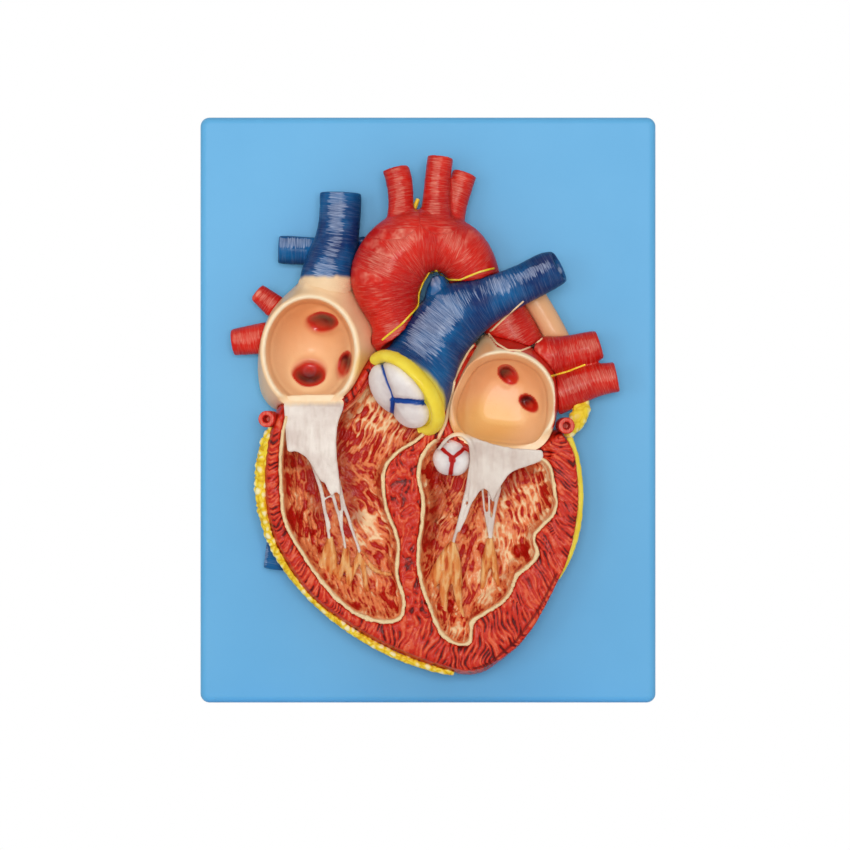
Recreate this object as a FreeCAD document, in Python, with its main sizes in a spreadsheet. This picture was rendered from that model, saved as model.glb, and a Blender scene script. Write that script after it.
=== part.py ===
"""Human heart anatomy model: a relief of a heart cut open from the front, on a moulded board.

Millimetres. +X is to the right as the viewer sees the front, +Z is up and the front faces -Y.
The origin is the centre of the wall face, the back of the board.
"""

import FreeCAD, Part
import Sketcher
import math
import os
from FreeCAD import Placement, Rotation, Vector

# ---------------------------------------------------------------- sizes

SIZES = [
    # board
    ("board_width", 350.0), ("board_height", 450.0), ("board_depth", 22.0),
    ("board_wall", 3.0), ("board_corner", 7.0), ("board_edge", 5.0),
    ("rib_thick", 2.4), ("rib_height", 12.0), ("boss_radius", 6.0),
    ("boss_inset", 20.0),
    ("panel_thick", 3.0), ("panel_gap", 0.3),
    ("hang_spacing", 240.0), ("hang_hole", 4.5), ("hang_rise", 165.0),
    # screws
    ("screw_shank", 2.0), ("screw_head", 3.6), ("screw_head_thick", 2.0),
    ("screw_length", 12.0), ("screw_gap", 0.15), ("fixing_reach", 16.0),
    ("fixing_spread", 34.0), ("fixing_high", -45.0), ("fixing_low", -150.0),
    # heart casting
    ("heart_width", 234.0), ("cut_height", 52.0), ("wall_bulge", 5.0),
    ("wall_undercut", 4.0), ("lining_thick", 3.0), ("hollow_floor", 28.0),
    # atria
    ("atrium_height", 55.0), ("right_bowl_wide", 31.5), ("right_bowl_tall", 38.0),
    ("right_bowl_deep", 40.0), ("left_bowl_floor", 17.0), ("bowl_rim", 6.0), ("orifice_radius", 8.0),
    # great vessels, radii
    ("cava_tip", 15.8), ("cava_base", 20.0), ("side_vein_radius", 10.5),
    ("side_vein_tip", 5.0), ("lower_cava_radius", 11.0),
    ("aorta_root", 18.0), ("aorta_bulge", 28.0), ("aorta_arch", 22.3),
    ("aorta_end", 19.0), ("descending_radius", 16.5), ("descending_tip", 20.0),
    ("brachial_base", 13.0), ("brachial_radius", 9.8), ("carotid_base", 15.0),
    ("carotid_radius", 9.8), ("subclavian_base", 12.0), ("subclavian_radius", 9.2),
    ("trunk_root", 32.0), ("trunk_middle", 25.0), ("trunk_tip", 13.3),
    ("ligament_base", 13.0), ("ligament_tip", 4.0), ("trunk_bore", 10.0), ("trunk_bore_depth", 16.0),
    ("right_vein_tip", 6.2), ("right_vein_base", 9.5),
    ("right_low_vein_tip", 9.0), ("right_low_vein_base", 11.5),
    ("left_vein_tip", 10.5), ("left_vein_base", 15.0),
    ("left_low_vein_tip", 11.5), ("left_low_vein_base", 14.5),
    ("auricle_radius", 10.0),
    # valves
    ("valve_ring_band", 4.2), ("valve_ring_turn", 214.0), ("valve_ring_start", 97.0),
    ("cusp_radius", 26.2), ("cusp_crown", 15.0), ("cusp_shift", 3.5), ("seam_width", 2.2),
    ("aortic_cusp_radius", 14.5), ("aortic_cusp_crown", 11.0),
    ("leaflet_thick", 2.4), ("leaflet_tilt", 9.0),
    ("chorda_radius", 1.3), ("papillary_head", 3.4), ("papillary_foot", 7.0),
    # fat and coronary arteries
    ("fat_thick", 5.4), ("fat_thin", 3.0), ("right_fat_thick", 3.2),
    ("fat_pad_wide", 10.0), ("fat_pad_tall", 11.0),
    ("coronary_radius", 6.2), ("coronary_bore", 2.8), ("coronary_length", 20.0),
]

DRAWN_WIDTH = 234.0   # heart_width at which the outlines below are drawn
DRAWN_HEIGHT = 52.0   # cut_height at which the heights below are drawn
OVERCUT = 1.0         # how far a cutting tool passes the face it cuts

# Sizes of a form's sections beside its outline, from the board to the front.
RIGHT_ATRIUM_SCALES = (0.93, 1.0)               # foot, belly
LEFT_ATRIUM_SCALES = (0.90, 1.0)                # foot, belly
LEFT_BOWL_SCALES = (0.55, 0.92, 1.01)           # floor, middle, mouth
HOLLOW_SCALES = (0.80, 0.95, 1.01)              # floor, middle, mouth
BELLY_SHARE = 0.55   # height of the casting's widest section, of cut_height

# ---------------------------------------------------------------- outlines (x, z), as drawn

WALL_OUTLINE = [
    (-110, 0), (-116, -15), (-120, -34), (-121, -55), (-119, -77), (-113, -98), (-102, -118),
    (-87, -138), (-66, -155), (-40, -171), (-12, -184), (14, -193), (33, -196), (50, -190),
    (67, -178), (83, -157), (96, -132), (105, -112), (110, -92), (113, -70), (112, -48),
    (108, -29), (101, -20), (86, -29), (66, -33), (42, -29), (22, -21), (14, -4), (12, 16),
    (2, 34), (-16, 43), (-34, 41), (-47, 30), (-56, 16), (-70, 5), (-90, 3),
]
RIGHT_HOLLOW = [
    (-106, -6), (-109, -24), (-110, -44), (-109, -66), (-107, -82), (-99, -99), (-87, -118),
    (-73, -136), (-56, -151), (-38, -158), (-22, -156), (-20, -143), (-25, -125), (-24, -110),
    (-25, -95), (-31, -80), (-35, -62), (-34, -44), (-24, -31), (-10, -22), (2, -8), (4, 10),
    (-3, 24), (-18, 34), (-32, 33), (-43, 23), (-52, 9), (-66, -2), (-88, -4),
]
RIGHT_HOLLOW_CENTRE = (-58, -52)
LEFT_HOLLOW = [
    (6, -25), (-3, -35), (-6, -48), (-3, -66), (-4, -90), (-6, -112), (-2, -136), (6, -157),
    (17, -173), (28, -176), (33, -162), (46, -150), (60, -138), (67, -123), (79, -112),
    (81, -98), (89, -84), (94, -70), (93, -54), (88, -40), (76, -37), (58, -38), (36, -34),
    (20, -26),
]
LEFT_HOLLOW_CENTRE = (44, -84)
RIGHT_ATRIUM = [
    (-96, 99), (-107, 89), (-118, 77), (-125, 62), (-129, 44), (-129, 24), (-125, 10),
    (-116, 1), (-97, 1), (-74, 2), (-57, 8), (-46, 20), (-38, 36), (-37, 51), (-41, 65),
    (-48, 79), (-54, 91), (-62, 101), (-78, 104),
]
RIGHT_ATRIUM_CENTRE = (-119, 26)
RIGHT_BOWL_CENTRE = (-89, 43.5)
LEFT_ATRIUM = [
    (45, 56), (63, 54), (80, 47), (92, 36), (98, 20), (99, 4), (96, -11), (91, -22),
    (69, -33), (40, -28), (17, -18), (17, 0), (21, 17), (28, 33), (35, 46),
]
LEFT_BOWL = [
    (48, 37), (60, 38), (72, 35), (83, 27), (89, 15), (90, 1), (88, -13), (82, -23),
    (68, -26), (48, -24), (28, -18), (22, -7), (24, 8), (30, 21), (38, 32),
]
LEFT_ATRIUM_CENTRE = (60, 6)
TRICUSPID_OUTLINE = [
    (-107, 2), (-106, -14), (-105, -29), (-95, -33), (-88, -41), (-82, -54), (-73, -58),
    (-63, -64), (-65, -46), (-68, -28), (-67, -8), (-66, 2), (-87, 3),
]
MITRAL_OUTLINE = [
    (32, -23), (46, -27), (64, -29), (81, -29), (85, -36), (82, -44), (68, -48), (58, -56),
    (54, -68), (50, -86), (45, -74), (41, -62), (35, -64), (30, -76), (31, -56), (33, -38),
]

doc = FreeCAD.newDocument("HeartModel")
sheet = doc.addObject("Spreadsheet::Sheet", "Sizes")
for row, (alias, value) in enumerate(SIZES, start=1):
    sheet.set("A%d" % row, alias)
    sheet.set("B%d" % row, str(value))
    sheet.setAlias("B%d" % row, alias)
doc.recompute()

# ---------------------------------------------------------------- helpers


def size(alias):
    return float(sheet.get(alias))


def place_x(x):
    return "%g * Sizes.heart_width / %g" % (x, DRAWN_WIDTH)


def place_y(height):
    return "-(Sizes.board_depth + %g * Sizes.cut_height / %g)" % (height, DRAWN_HEIGHT)


def at(x, z, height):
    """A drawn point of the relief, height above the board's face, as a point in millimetres."""
    wide = size("heart_width") / DRAWN_WIDTH
    deep = size("cut_height") / DRAWN_HEIGHT
    return Vector(x * wide, -(size("board_depth") + height * deep), z * wide)


def bind(thing, expressions):
    for prop, text in expressions.items():
        thing.setExpression(prop, text)


def bind_place(thing, x, z, height):
    bind(thing, {".Placement.Base.x": place_x(x), ".Placement.Base.z": place_x(z),
                 ".Placement.Base.y": place_y(height)})


def facing(direction):
    """Rotation whose local Z runs along direction and whose local X leans to the front."""
    along = Vector(direction).normalize()
    front = Vector(0, -1, 0)
    side = front - along * front.dot(along)
    if side.Length < 0.05:
        side = Vector(1, 0, 0) - along * along.x
    return Rotation(side.normalize(), along.cross(side), along, "ZXY")


FRONT = Rotation(Vector(1, 0, 0), 90)   # a sketch's X, Y and Z become +X, +Z and the front


def outline_sketch(name, outline, height, factor=1.0, centre=(0, 0), grow=0.0):
    """Closed smooth sketch of an outline, scaled about centre and then grown outwards.

    height is an expression in millimetres above the board's face.
    """
    wide = size("heart_width") / DRAWN_WIDTH
    points = [Vector(wide * (centre[0] + factor * (x - centre[0])),
                     wide * (centre[1] + factor * (z - centre[1])), 0) for x, z in outline]
    if grow:
        points = grown(points, grow)
    sketch = doc.addObject("Sketcher::SketchObject", name)
    sketch.addGeometry(smooth_loop(points, outline), False)
    sketch.Placement = Placement(Vector(0, 0, 0), FRONT)
    sketch.setExpression(".Placement.Base.y", "-(Sizes.board_depth + %s)" % height)
    return sketch


def smooth_loop(points, pattern):
    """Closed curve through the points; sections of one pattern share their knots."""
    knots = [0.0]
    for (x, z), (next_x, next_z) in zip(pattern, pattern[1:] + pattern[:1]):
        knots.append(knots[-1] + math.hypot(next_x - x, next_z - z))
    curve = Part.BSplineCurve()
    curve.interpolate(Points=points, PeriodicFlag=True, Parameters=knots)
    return curve


def grown(points, distance):
    """Each point moved outwards along the normal of the closed outline at that point."""
    area = sum(a.x * b.y - b.x * a.y for a, b in zip(points, points[1:] + points[:1]))
    turn = 1.0 if area > 0 else -1.0
    moved = []
    for before, point, after in zip(points[-1:] + points[:-1], points, points[1:] + points[:1]):
        along = (after - before).normalize()
        moved.append(point + Vector(along.y, -along.x, 0) * (turn * distance))
    return moved


def loft(name, sections, straight=False):
    solid = doc.addObject("Part::Loft", name)
    solid.Sections = sections
    solid.Solid = True
    solid.Ruled = straight
    return solid


def stack(name, outline, centre, levels, scales, grow=0.0, straight=False, crown=()):
    """Loft through one outline scaled about centre, one section at each level, then the crown's."""
    sections = [outline_sketch("%s_section_%d" % (name, number), outline, level, scale, centre, grow)
                for number, (level, scale) in enumerate(zip(levels, scales))]
    return loft(name, sections + list(crown), straight)


def rounded(outline, centre, wide, tall, share):
    """The outline moved by a share of the way on to an ellipse about centre, point by point."""
    moved = []
    for x, z in outline:
        turn = math.atan2((z - centre[1]) / tall, (x - centre[0]) / wide)
        round_x = centre[0] + wide * math.cos(turn)
        round_z = centre[1] + tall * math.sin(turn)
        moved.append((x + share * (round_x - x), z + share * (round_z - z)))
    return moved


def tangents(points):
    result = []
    for index, point in enumerate(points):
        before = points[max(index - 1, 0)]
        after = points[min(index + 1, len(points) - 1)]
        result.append((after - before).normalize())
    return result


def vessel(name, stations, first_direction=None):
    """Smooth tapering tube, solid inside, through stations of x, z, height and radius."""
    points = [at(x, z, height) for x, z, height, _ in stations]
    directions = tangents(points)
    if first_direction:
        directions[0] = Vector(first_direction).normalize()
    circles = []
    for number, (station, direction) in enumerate(zip(stations, directions)):
        x, z, height, radius = station
        circle = doc.addObject("Part::Circle", "%s_section_%d" % (name, number))
        circle.Placement = Placement(Vector(0, 0, 0), facing(direction))
        bind_place(circle, x, z, height)
        circle.setExpression("Radius", radius_text(radius))
        circles.append(circle)
    return loft(name + "_form", circles)


def radius_text(radius):
    """An alias, or (share, alias, alias): so far of the way from the first to the second."""
    if isinstance(radius, str):
        return "Sizes." + radius
    share, first, second = radius
    return "Sizes.%s + %g * (Sizes.%s - Sizes.%s)" % (first, share, second, first)


def cut(name, base, tool):
    result = doc.addObject("Part::Cut", name)
    result.Base = base
    result.Tool = tool
    return result


def seat(node, form, neighbours):
    """The form with every neighbour that it sits against taken out of it, as the finished node."""
    result = form
    for number, neighbour in enumerate(neighbours):
        result = cut("%s_seat_%d" % (node, number), result, neighbour)
    return finish(node, result)


PARTS = []


def finish(node, thing):
    thing.Label = node
    PARTS.append(thing)
    return thing


def group(node, members):
    return finish(node, gathered(node + "_set", members))


def gathered(name, members):
    bundle = doc.addObject("Part::Compound", name)
    bundle.Links = members
    return bundle


# ---------------------------------------------------------------- sketches for plain bodies


def front_plane(body):
    return next(f for f in body.Origin.OriginFeatures if f.Role == "XZ_Plane")


def body_sketch(body, name, depth):
    """Sketch in the body's XZ plane, depth in front of the wall face, an expression."""
    sketch = body.newObject("Sketcher::SketchObject", name)
    sketch.AttachmentSupport = [(front_plane(body), "")]
    sketch.MapMode = "FlatFace"
    sketch.setExpression(".AttachmentOffset.Base.z", depth)
    return sketch


def add_rectangle(sketch, width, height, x="0", z="0"):
    """Rectangle centred on x, z; all four are expressions."""
    from_x, to_x, from_z, to_z = -10, 10, -10, 10
    corners = [Vector(from_x, from_z, 0), Vector(to_x, from_z, 0), Vector(to_x, to_z, 0),
               Vector(from_x, to_z, 0)]
    first = sketch.GeometryCount
    for start, end in zip(corners, corners[1:] + corners[:1]):
        sketch.addGeometry(Part.LineSegment(start, end), False)
    for side in range(4):
        sketch.addConstraint(Sketcher.Constraint("Coincident", first + side, 2,
                                                 first + (side + 1) % 4, 1))
    for side in (0, 2):
        sketch.addConstraint(Sketcher.Constraint("Horizontal", first + side))
        sketch.addConstraint(Sketcher.Constraint("Vertical", first + side + 1))
    dimension(sketch, ("DistanceX", first, 1, first, 2, 20.0), width)
    dimension(sketch, ("DistanceY", first + 1, 1, first + 1, 2, 20.0), height)
    dimension(sketch, ("DistanceX", -1, 1, first, 1, -10.0), "%s - (%s) / 2" % (x, width))
    dimension(sketch, ("DistanceY", -1, 1, first, 1, -10.0), "%s - (%s) / 2" % (z, height))


def add_circle(sketch, radius, x, z):
    number = sketch.addGeometry(Part.Circle(Vector(1, 1, 0), Vector(0, 0, 1), 5.0), False)
    dimension(sketch, ("Radius", number, 5.0), radius)
    dimension(sketch, ("DistanceX", -1, 1, number, 3, 1.0), x)
    dimension(sketch, ("DistanceY", -1, 1, number, 3, 1.0), z)


def dimension(sketch, constraint, text):
    number = sketch.addConstraint(Sketcher.Constraint(*constraint))
    sketch.setExpression("Constraints[%d]" % number, text)


def pad(body, name, sketch, length):
    feature = body.newObject("PartDesign::Pad", name)
    feature.Profile = sketch
    feature.setExpression("Length", length)
    return feature


def pocket(body, name, sketch, length):
    """Cuts from the sketch towards the front."""
    feature = body.newObject("PartDesign::Pocket", name)
    feature.Profile = sketch
    feature.Reversed = True
    feature.setExpression("Length", length)
    return feature


# ---------------------------------------------------------------- board


def corner_places():
    side = "(Sizes.board_width / 2 - Sizes.boss_inset)"
    high = "(Sizes.board_height / 2 - Sizes.boss_inset)"
    return [(sx + side, sz + high) for sx in ("-", "") for sz in ("-", "")]


def fixing_places():
    return [(sx + "Sizes.fixing_spread", "Sizes." + level)
            for level in ("fixing_high", "fixing_low") for sx in ("-", "")]


def make_board():
    body = doc.addObject("PartDesign::Body", "Board")
    outer = body_sketch(body, "BoardOutline", "0")
    add_rectangle(outer, "Sizes.board_width", "Sizes.board_height")
    pad(body, "BoardBlock", outer, "Sizes.board_depth")
    doc.recompute()
    corners = edges_where(body, lambda e: abs(e.BoundBox.YLength - size("board_depth")) < 0.01)
    fillet(body, "BoardCorners", corners, "Sizes.board_corner")
    doc.recompute()
    front = -size("board_depth")
    rim = edges_where(body, lambda e: abs(e.BoundBox.YMin - front) < 0.01
                      and e.BoundBox.YLength < 0.01)
    fillet(body, "BoardEdge", rim, "Sizes.board_edge")

    inside = body_sketch(body, "BoardInside", "0")
    wall = " - 2 * Sizes.board_wall"
    add_rectangle(inside, "Sizes.board_width" + wall, "Sizes.board_height" + wall)
    pocket(body, "BoardHollow", inside, "Sizes.board_depth - Sizes.board_wall")

    floor = "Sizes.board_depth - Sizes.board_wall - Sizes.rib_height"
    ribs = body_sketch(body, "RibLines", floor)
    add_rectangle(ribs, "Sizes.rib_thick", "Sizes.board_height" + wall)
    pad(body, "MiddleRib", ribs, "Sizes.rib_height")
    for number, sign in enumerate(("-", "")):
        cross = body_sketch(body, "CrossRibLine%d" % number, floor)
        add_rectangle(cross, "Sizes.board_width" + wall, "Sizes.rib_thick",
                      z=sign + "Sizes.board_height / 6")
        pad(body, "CrossRib%d" % number, cross, "Sizes.rib_height")

    bosses = body_sketch(body, "BossCircles", "Sizes.panel_thick")
    for x, z in corner_places():
        add_circle(bosses, "Sizes.boss_radius", x, z)
    pad(body, "Bosses", bosses, "Sizes.board_depth - Sizes.board_wall - Sizes.panel_thick")

    pilots = body_sketch(body, "PilotHoles", "Sizes.panel_thick")
    for x, z in corner_places():
        add_circle(pilots, "Sizes.screw_shank + Sizes.screw_gap", x, z)
    pocket(body, "Pilots", pilots, "Sizes.screw_length")

    fixings = body_sketch(body, "FixingHoles", "0")
    for x, z in fixing_places():
        add_circle(fixings, "Sizes.screw_shank + Sizes.screw_gap", x, z)
    pocket(body, "FixingHolesCut", fixings, "Sizes.board_depth + %g" % OVERCUT)
    return finish("base_board", body)


def edges_where(body, test):
    doc.recompute()
    edges = body.Tip.Shape.Edges
    return body.Tip, ["Edge%d" % (i + 1) for i, e in enumerate(edges) if test(e)]


def fillet(body, name, chosen, radius):
    feature = body.newObject("PartDesign::Fillet", name)
    feature.Base = chosen
    feature.setExpression("Radius", radius)
    return feature


def make_panel():
    body = doc.addObject("PartDesign::Body", "Panel")
    outline = body_sketch(body, "PanelOutline", "0")
    inset = " - 2 * (Sizes.board_wall + Sizes.panel_gap)"
    add_rectangle(outline, "Sizes.board_width" + inset, "Sizes.board_height" + inset)
    pad(body, "PanelPlate", outline, "Sizes.panel_thick")

    hanging = body_sketch(body, "HangingHoles", "0")
    for sign in ("-", ""):
        add_circle(hanging, "Sizes.hang_hole", sign + "Sizes.hang_spacing / 2", "Sizes.hang_rise")
    pocket(body, "HangingHolesCut", hanging, "Sizes.panel_thick + %g" % OVERCUT)

    heads = body_sketch(body, "HeadRecesses", "0")
    shanks = body_sketch(body, "ShankHoles", "0")
    for x, z in corner_places():
        add_circle(heads, "Sizes.screw_head + Sizes.screw_gap", x, z)
        add_circle(shanks, "Sizes.screw_shank + Sizes.screw_gap", x, z)
    pocket(body, "HeadRecessesCut", heads, "Sizes.screw_head_thick")
    pocket(body, "ShankHolesCut", shanks, "Sizes.panel_thick + %g" % OVERCUT)
    return finish("back_panel", body)


def make_screw(name, x, z, seat_depth, length):
    """Pan-headed screw that points to the front, its head's face at seat_depth."""
    body = doc.addObject("PartDesign::Body", name)
    head = body_sketch(body, name + "HeadCircle", "0")
    add_circle(head, "Sizes.screw_head", "0", "0")
    pad(body, name + "Head", head, "Sizes.screw_head_thick")
    shank = body_sketch(body, name + "ShankCircle", "Sizes.screw_head_thick")
    add_circle(shank, "Sizes.screw_shank", "0", "0")
    pad(body, name + "Shank", shank, length)
    bind(body, {".Placement.Base.x": x, ".Placement.Base.z": z,
                ".Placement.Base.y": "-(%s - Sizes.screw_head_thick)" % seat_depth})
    return body


def make_screws():
    panel_screws = [make_screw("PanelScrew%d" % n, x, z, "Sizes.screw_head_thick",
                               "Sizes.screw_length - Sizes.screw_gap")
                    for n, (x, z) in enumerate(corner_places())]
    group("back_panel_screws", panel_screws)
    inner_face = "(Sizes.board_depth - Sizes.board_wall)"
    fixing_screws = [make_screw("FixingScrew%d" % n, x, z, inner_face, "Sizes.fixing_reach")
                     for n, (x, z) in enumerate(fixing_places())]
    group("heart_fixing_screws", fixing_screws)


# ---------------------------------------------------------------- heart casting


def hollow_tool(name, outline, centre, grow):
    """What is taken out for a ventricle, its wall grown outwards by the lining's thickness."""
    levels = ("Sizes.hollow_floor - %g" % grow,
              "(Sizes.cut_height + Sizes.hollow_floor) / 2",
              "(Sizes.cut_height + %g)" % OVERCUT)
    return stack(name, outline, centre, levels, HOLLOW_SCALES, grow, straight=True)


def make_heart_wall():
    form = loft("HeartWallForm", [
        outline_sketch("WallFoot", WALL_OUTLINE, "0", grow=-size("wall_undercut")),
        outline_sketch("WallBelly", WALL_OUTLINE, "Sizes.cut_height * %g" % BELLY_SHARE,
                       grow=size("wall_bulge")),
        outline_sketch("WallCut", WALL_OUTLINE, "Sizes.cut_height"),
    ])
    thick = size("lining_thick")
    outers, inners, linings = [], [], []
    for side, outline, centre in (("right", RIGHT_HOLLOW, RIGHT_HOLLOW_CENTRE),
                                  ("left", LEFT_HOLLOW, LEFT_HOLLOW_CENTRE)):
        outer = hollow_tool(side + "HollowOuter", outline, centre, thick)
        inner = hollow_tool(side + "HollowInner", outline, centre, 0.0)
        outers.append(outer)
        inners.append(inner)
        skin = cut(side + "LiningSkin", outer, inner)
        flush = doc.addObject("Part::Common", side + "LiningFlush")
        flush.Base = skin
        flush.Tool = below_cut(side)
        linings.append(finish(side + "_ventricle_lining", flush))
    holes = []
    for number, (x, z) in enumerate(fixing_places()):
        hole = doc.addObject("Part::Cylinder", "FixingPilot%d" % number)
        hole.Placement = Placement(Vector(0, 0, 0), FRONT)
        bind(hole, {"Radius": "Sizes.screw_shank + Sizes.screw_gap",
                    "Height": "Sizes.fixing_reach + %g" % OVERCUT,
                    ".Placement.Base.x": x, ".Placement.Base.z": z,
                    ".Placement.Base.y": "-(Sizes.board_depth - %g)" % OVERCUT})
        holes.append(hole)
    wall = seat("heart_wall", form, outers + holes)
    return wall, linings, inners


def below_cut(side):
    """Everything behind the cut face, to trim a lining flush with it."""
    slab = doc.addObject("Part::Box", side + "BelowCut")
    bind(slab, {"Length": "Sizes.board_width", "Height": "Sizes.board_height",
                "Width": "Sizes.cut_height", ".Placement.Base.x": "-Sizes.board_width / 2",
                ".Placement.Base.z": "-Sizes.board_height / 2",
                ".Placement.Base.y": "-(Sizes.board_depth + Sizes.cut_height)"})
    return slab


def orifice(name, x, z, height, radius_share):
    """Vein opening in the floor of a bowl, drilled towards the board."""
    hole = doc.addObject("Part::Cylinder", name)
    hole.Placement = Placement(Vector(0, 0, 0), FRONT)
    bind_place(hole, x, z, height)
    bind(hole, {"Radius": "%g * Sizes.orifice_radius" % radius_share,
                "Height": "Sizes.cut_height"})
    return hole


def make_right_atrium(neighbours):
    drawn = DRAWN_WIDTH / size("heart_width")
    wide = (size("right_bowl_wide") + size("bowl_rim")) * drawn
    tall = (size("right_bowl_tall") + size("bowl_rim")) * drawn
    crown = [outline_sketch(name, rounded(RIGHT_ATRIUM, RIGHT_BOWL_CENTRE, wide, tall, share), level)
             for name, share, level in (("RightNeck", 0.6, "Sizes.atrium_height * 0.82"),
                                        ("RightRim", 1.0, "Sizes.atrium_height"))]
    form = stack("RightAtriumForm", RIGHT_ATRIUM, RIGHT_ATRIUM_CENTRE,
                 ("0", "Sizes.atrium_height * 0.45"), RIGHT_ATRIUM_SCALES, crown=crown)
    bowl = doc.addObject("Part::Ellipsoid", "RightBowl")
    bind_place(bowl, *RIGHT_BOWL_CENTRE, 0)
    bind(bowl, {"Radius1": "Sizes.right_bowl_tall", "Radius2": "Sizes.right_bowl_wide",
                "Radius3": "Sizes.right_bowl_deep",
                ".Placement.Base.y": "-(Sizes.board_depth + Sizes.atrium_height)"})
    holes = [orifice("CavaOrifice", -81, 64, 12, 1.1), orifice("LowerCavaOrifice", -90, 30, 8, 1.2),
             orifice("SinusOrifice", -66, 34, 16, 0.8)]
    return seat("right_atrium", form, [bowl] + holes + neighbours)


def make_left_atrium(neighbours):
    rim = outline_sketch("LeftRim", LEFT_BOWL, "Sizes.atrium_height", grow=size("bowl_rim"))
    form = stack("LeftAtriumForm", LEFT_ATRIUM, LEFT_ATRIUM_CENTRE,
                 ("0", "Sizes.atrium_height * 0.6"), LEFT_ATRIUM_SCALES, crown=[rim])
    bowl_levels = ("Sizes.left_bowl_floor", "(Sizes.atrium_height + Sizes.left_bowl_floor) / 2",
                   "(Sizes.atrium_height + %g)" % OVERCUT)
    bowl = stack("LeftBowl", LEFT_BOWL, LEFT_ATRIUM_CENTRE, bowl_levels, LEFT_BOWL_SCALES)
    holes = [orifice("UpperVeinOrifice", 61, 25, 8, 0.9), orifice("LowerVeinOrifice", 76, 5, 8, 0.9)]
    return seat("left_atrium", form, [bowl] + holes + neighbours)


# ---------------------------------------------------------------- great vessels

TRUNK_ROOT = (-19, 13, 58)
TRUNK_BEND = (62, 91.5, 44)
TRUNK_TIP = (98.5, 109, 53)
TRUNK_MOUTH = (99.2, 109.3, 53.2)   # just outside the tip, where its bore starts
TRUNK_LEAN = (0.45, 0.64, 0.62)   # x, z and towards the board, out of the heart


def trunk_direction():
    x, z, back = TRUNK_LEAN
    return Vector(x, back, z)


def make_pulmonary_trunk(neighbours):
    tube = vessel("pulmonary_trunk", [
        TRUNK_ROOT + ("trunk_root",),
        (-7, 34, 46, (0.4, "trunk_root", "trunk_middle")),
        (6, 54, 41, (0.9, "trunk_root", "trunk_middle")),
        (21, 72, 41, "trunk_middle"),
        (40, 81, 43, (0.5, "trunk_middle", "trunk_tip")),
        TRUNK_BEND + ((0.75, "trunk_middle", "trunk_tip"),),
        TRUNK_TIP + ("trunk_tip",),
    ], trunk_direction())
    ligament = spindle("ArterialLigament", (11, 78, 43), (6, 101, 44), "ligament_base",
                       "ligament_tip")
    form = doc.addObject("Part::Fuse", "TrunkWithLigament")
    form.Base = tube
    form.Tool = ligament
    tip, inner = at(*TRUNK_TIP), at(*TRUNK_BEND)
    bore = doc.addObject("Part::Cylinder", "TrunkBore")
    bore.Placement = Placement(Vector(0, 0, 0), facing(inner - tip))
    bind_place(bore, *TRUNK_MOUTH)
    bind(bore, {"Radius": "Sizes.trunk_bore", "Height": "Sizes.trunk_bore_depth"})
    return seat("pulmonary_trunk", form, [bore] + neighbours)


def make_aortic_arch(neighbours):
    form = vessel("aortic_arch", [
        (-19, 47, 36, "aorta_root"),
        (-23.5, 64, 36, (0.15, "aorta_root", "aorta_bulge")),
        (-29, 84, 38, (0.6, "aorta_root", "aorta_bulge")),
        (-31, 99, 40, "aorta_bulge"),
        (-25, 114, 41, "aorta_bulge"),
        (-11, 125.5, 41, (0.7, "aorta_arch", "aorta_bulge")),
        (6, 127, 40, "aorta_arch"),
        (22.5, 121, 37, (0.3, "aorta_arch", "aorta_end")),
        (33, 107, 33, (0.7, "aorta_arch", "aorta_end")),
        (37, 93, 29, "aorta_end"),
        (38, 79, 25, "aorta_end"),
    ])
    return seat("aortic_arch", form, neighbours)


def make_branches(arch):
    first = vessel("brachiocephalic_trunk", [
        (-21, 136, 41, "brachial_base"),
        (-20.5, 152, 41, "brachial_radius"),
        (-21, 165, 40, "brachial_radius"),
        (-25, 180.5, 39, "brachial_radius"),
    ])
    seat("brachiocephalic_trunk", first, [arch])
    second = vessel("left_carotid_artery", [
        (6, 137, 40, "carotid_base"),
        (6, 154, 41, (0.8, "carotid_base", "carotid_radius")),
        (7, 169, 41, "carotid_radius"),
        (9.5, 189, 40, "carotid_radius"),
    ])
    carotid = seat("left_carotid_artery", second, [arch])
    third = vessel("left_subclavian_artery", [
        (17, 134, 33, "subclavian_base"),
        (19.5, 150, 31, "subclavian_radius"),
        (23, 163, 30, "subclavian_radius"),
        (28, 177.5, 29, "subclavian_radius"),
    ])
    seat("left_subclavian_artery", third, [arch, carotid])


def make_descending_aorta(neighbours):
    form = vessel("descending_aorta", [
        (44, 92, 24, "descending_radius"),
        (58, 70, 22, (0.6, "descending_radius", "descending_tip")),
        (70, 46, 20, "descending_tip"),
    ])
    return seat("descending_aorta", form, neighbours)


def make_superior_cava(neighbours):
    form = vessel("superior_vena_cava", [
        (-78, 90, 31, "cava_base"),
        (-75, 106, 32, "cava_base"),
        (-70, 126, 31, (0.3, "cava_tip", "cava_base")),
        (-67, 146, 30, "cava_tip"),
        (-66.5, 164, 30, "cava_tip"),
    ])
    return seat("superior_vena_cava", form, neighbours)


def make_side_vein(neighbours):
    form = vessel("side_vein", [
        (-114, 122.5, 18, "side_vein_radius"),
        (-92, 121.5, 18, "side_vein_radius"),
        (-68, 123, 18, (0.5, "side_vein_radius", "side_vein_tip")),
        (-46.5, 128, 20, "side_vein_tip"),
    ])
    return seat("side_vein", form, neighbours)


def make_inferior_cava(neighbours):
    form = vessel("inferior_vena_cava", [
        (-110, -86, 13, "lower_cava_radius"),
        (-112.5, -103, 13, "lower_cava_radius"),
        (-115, -122, 13, "lower_cava_radius"),
    ])
    return seat("inferior_vena_cava", form, neighbours)


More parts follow.
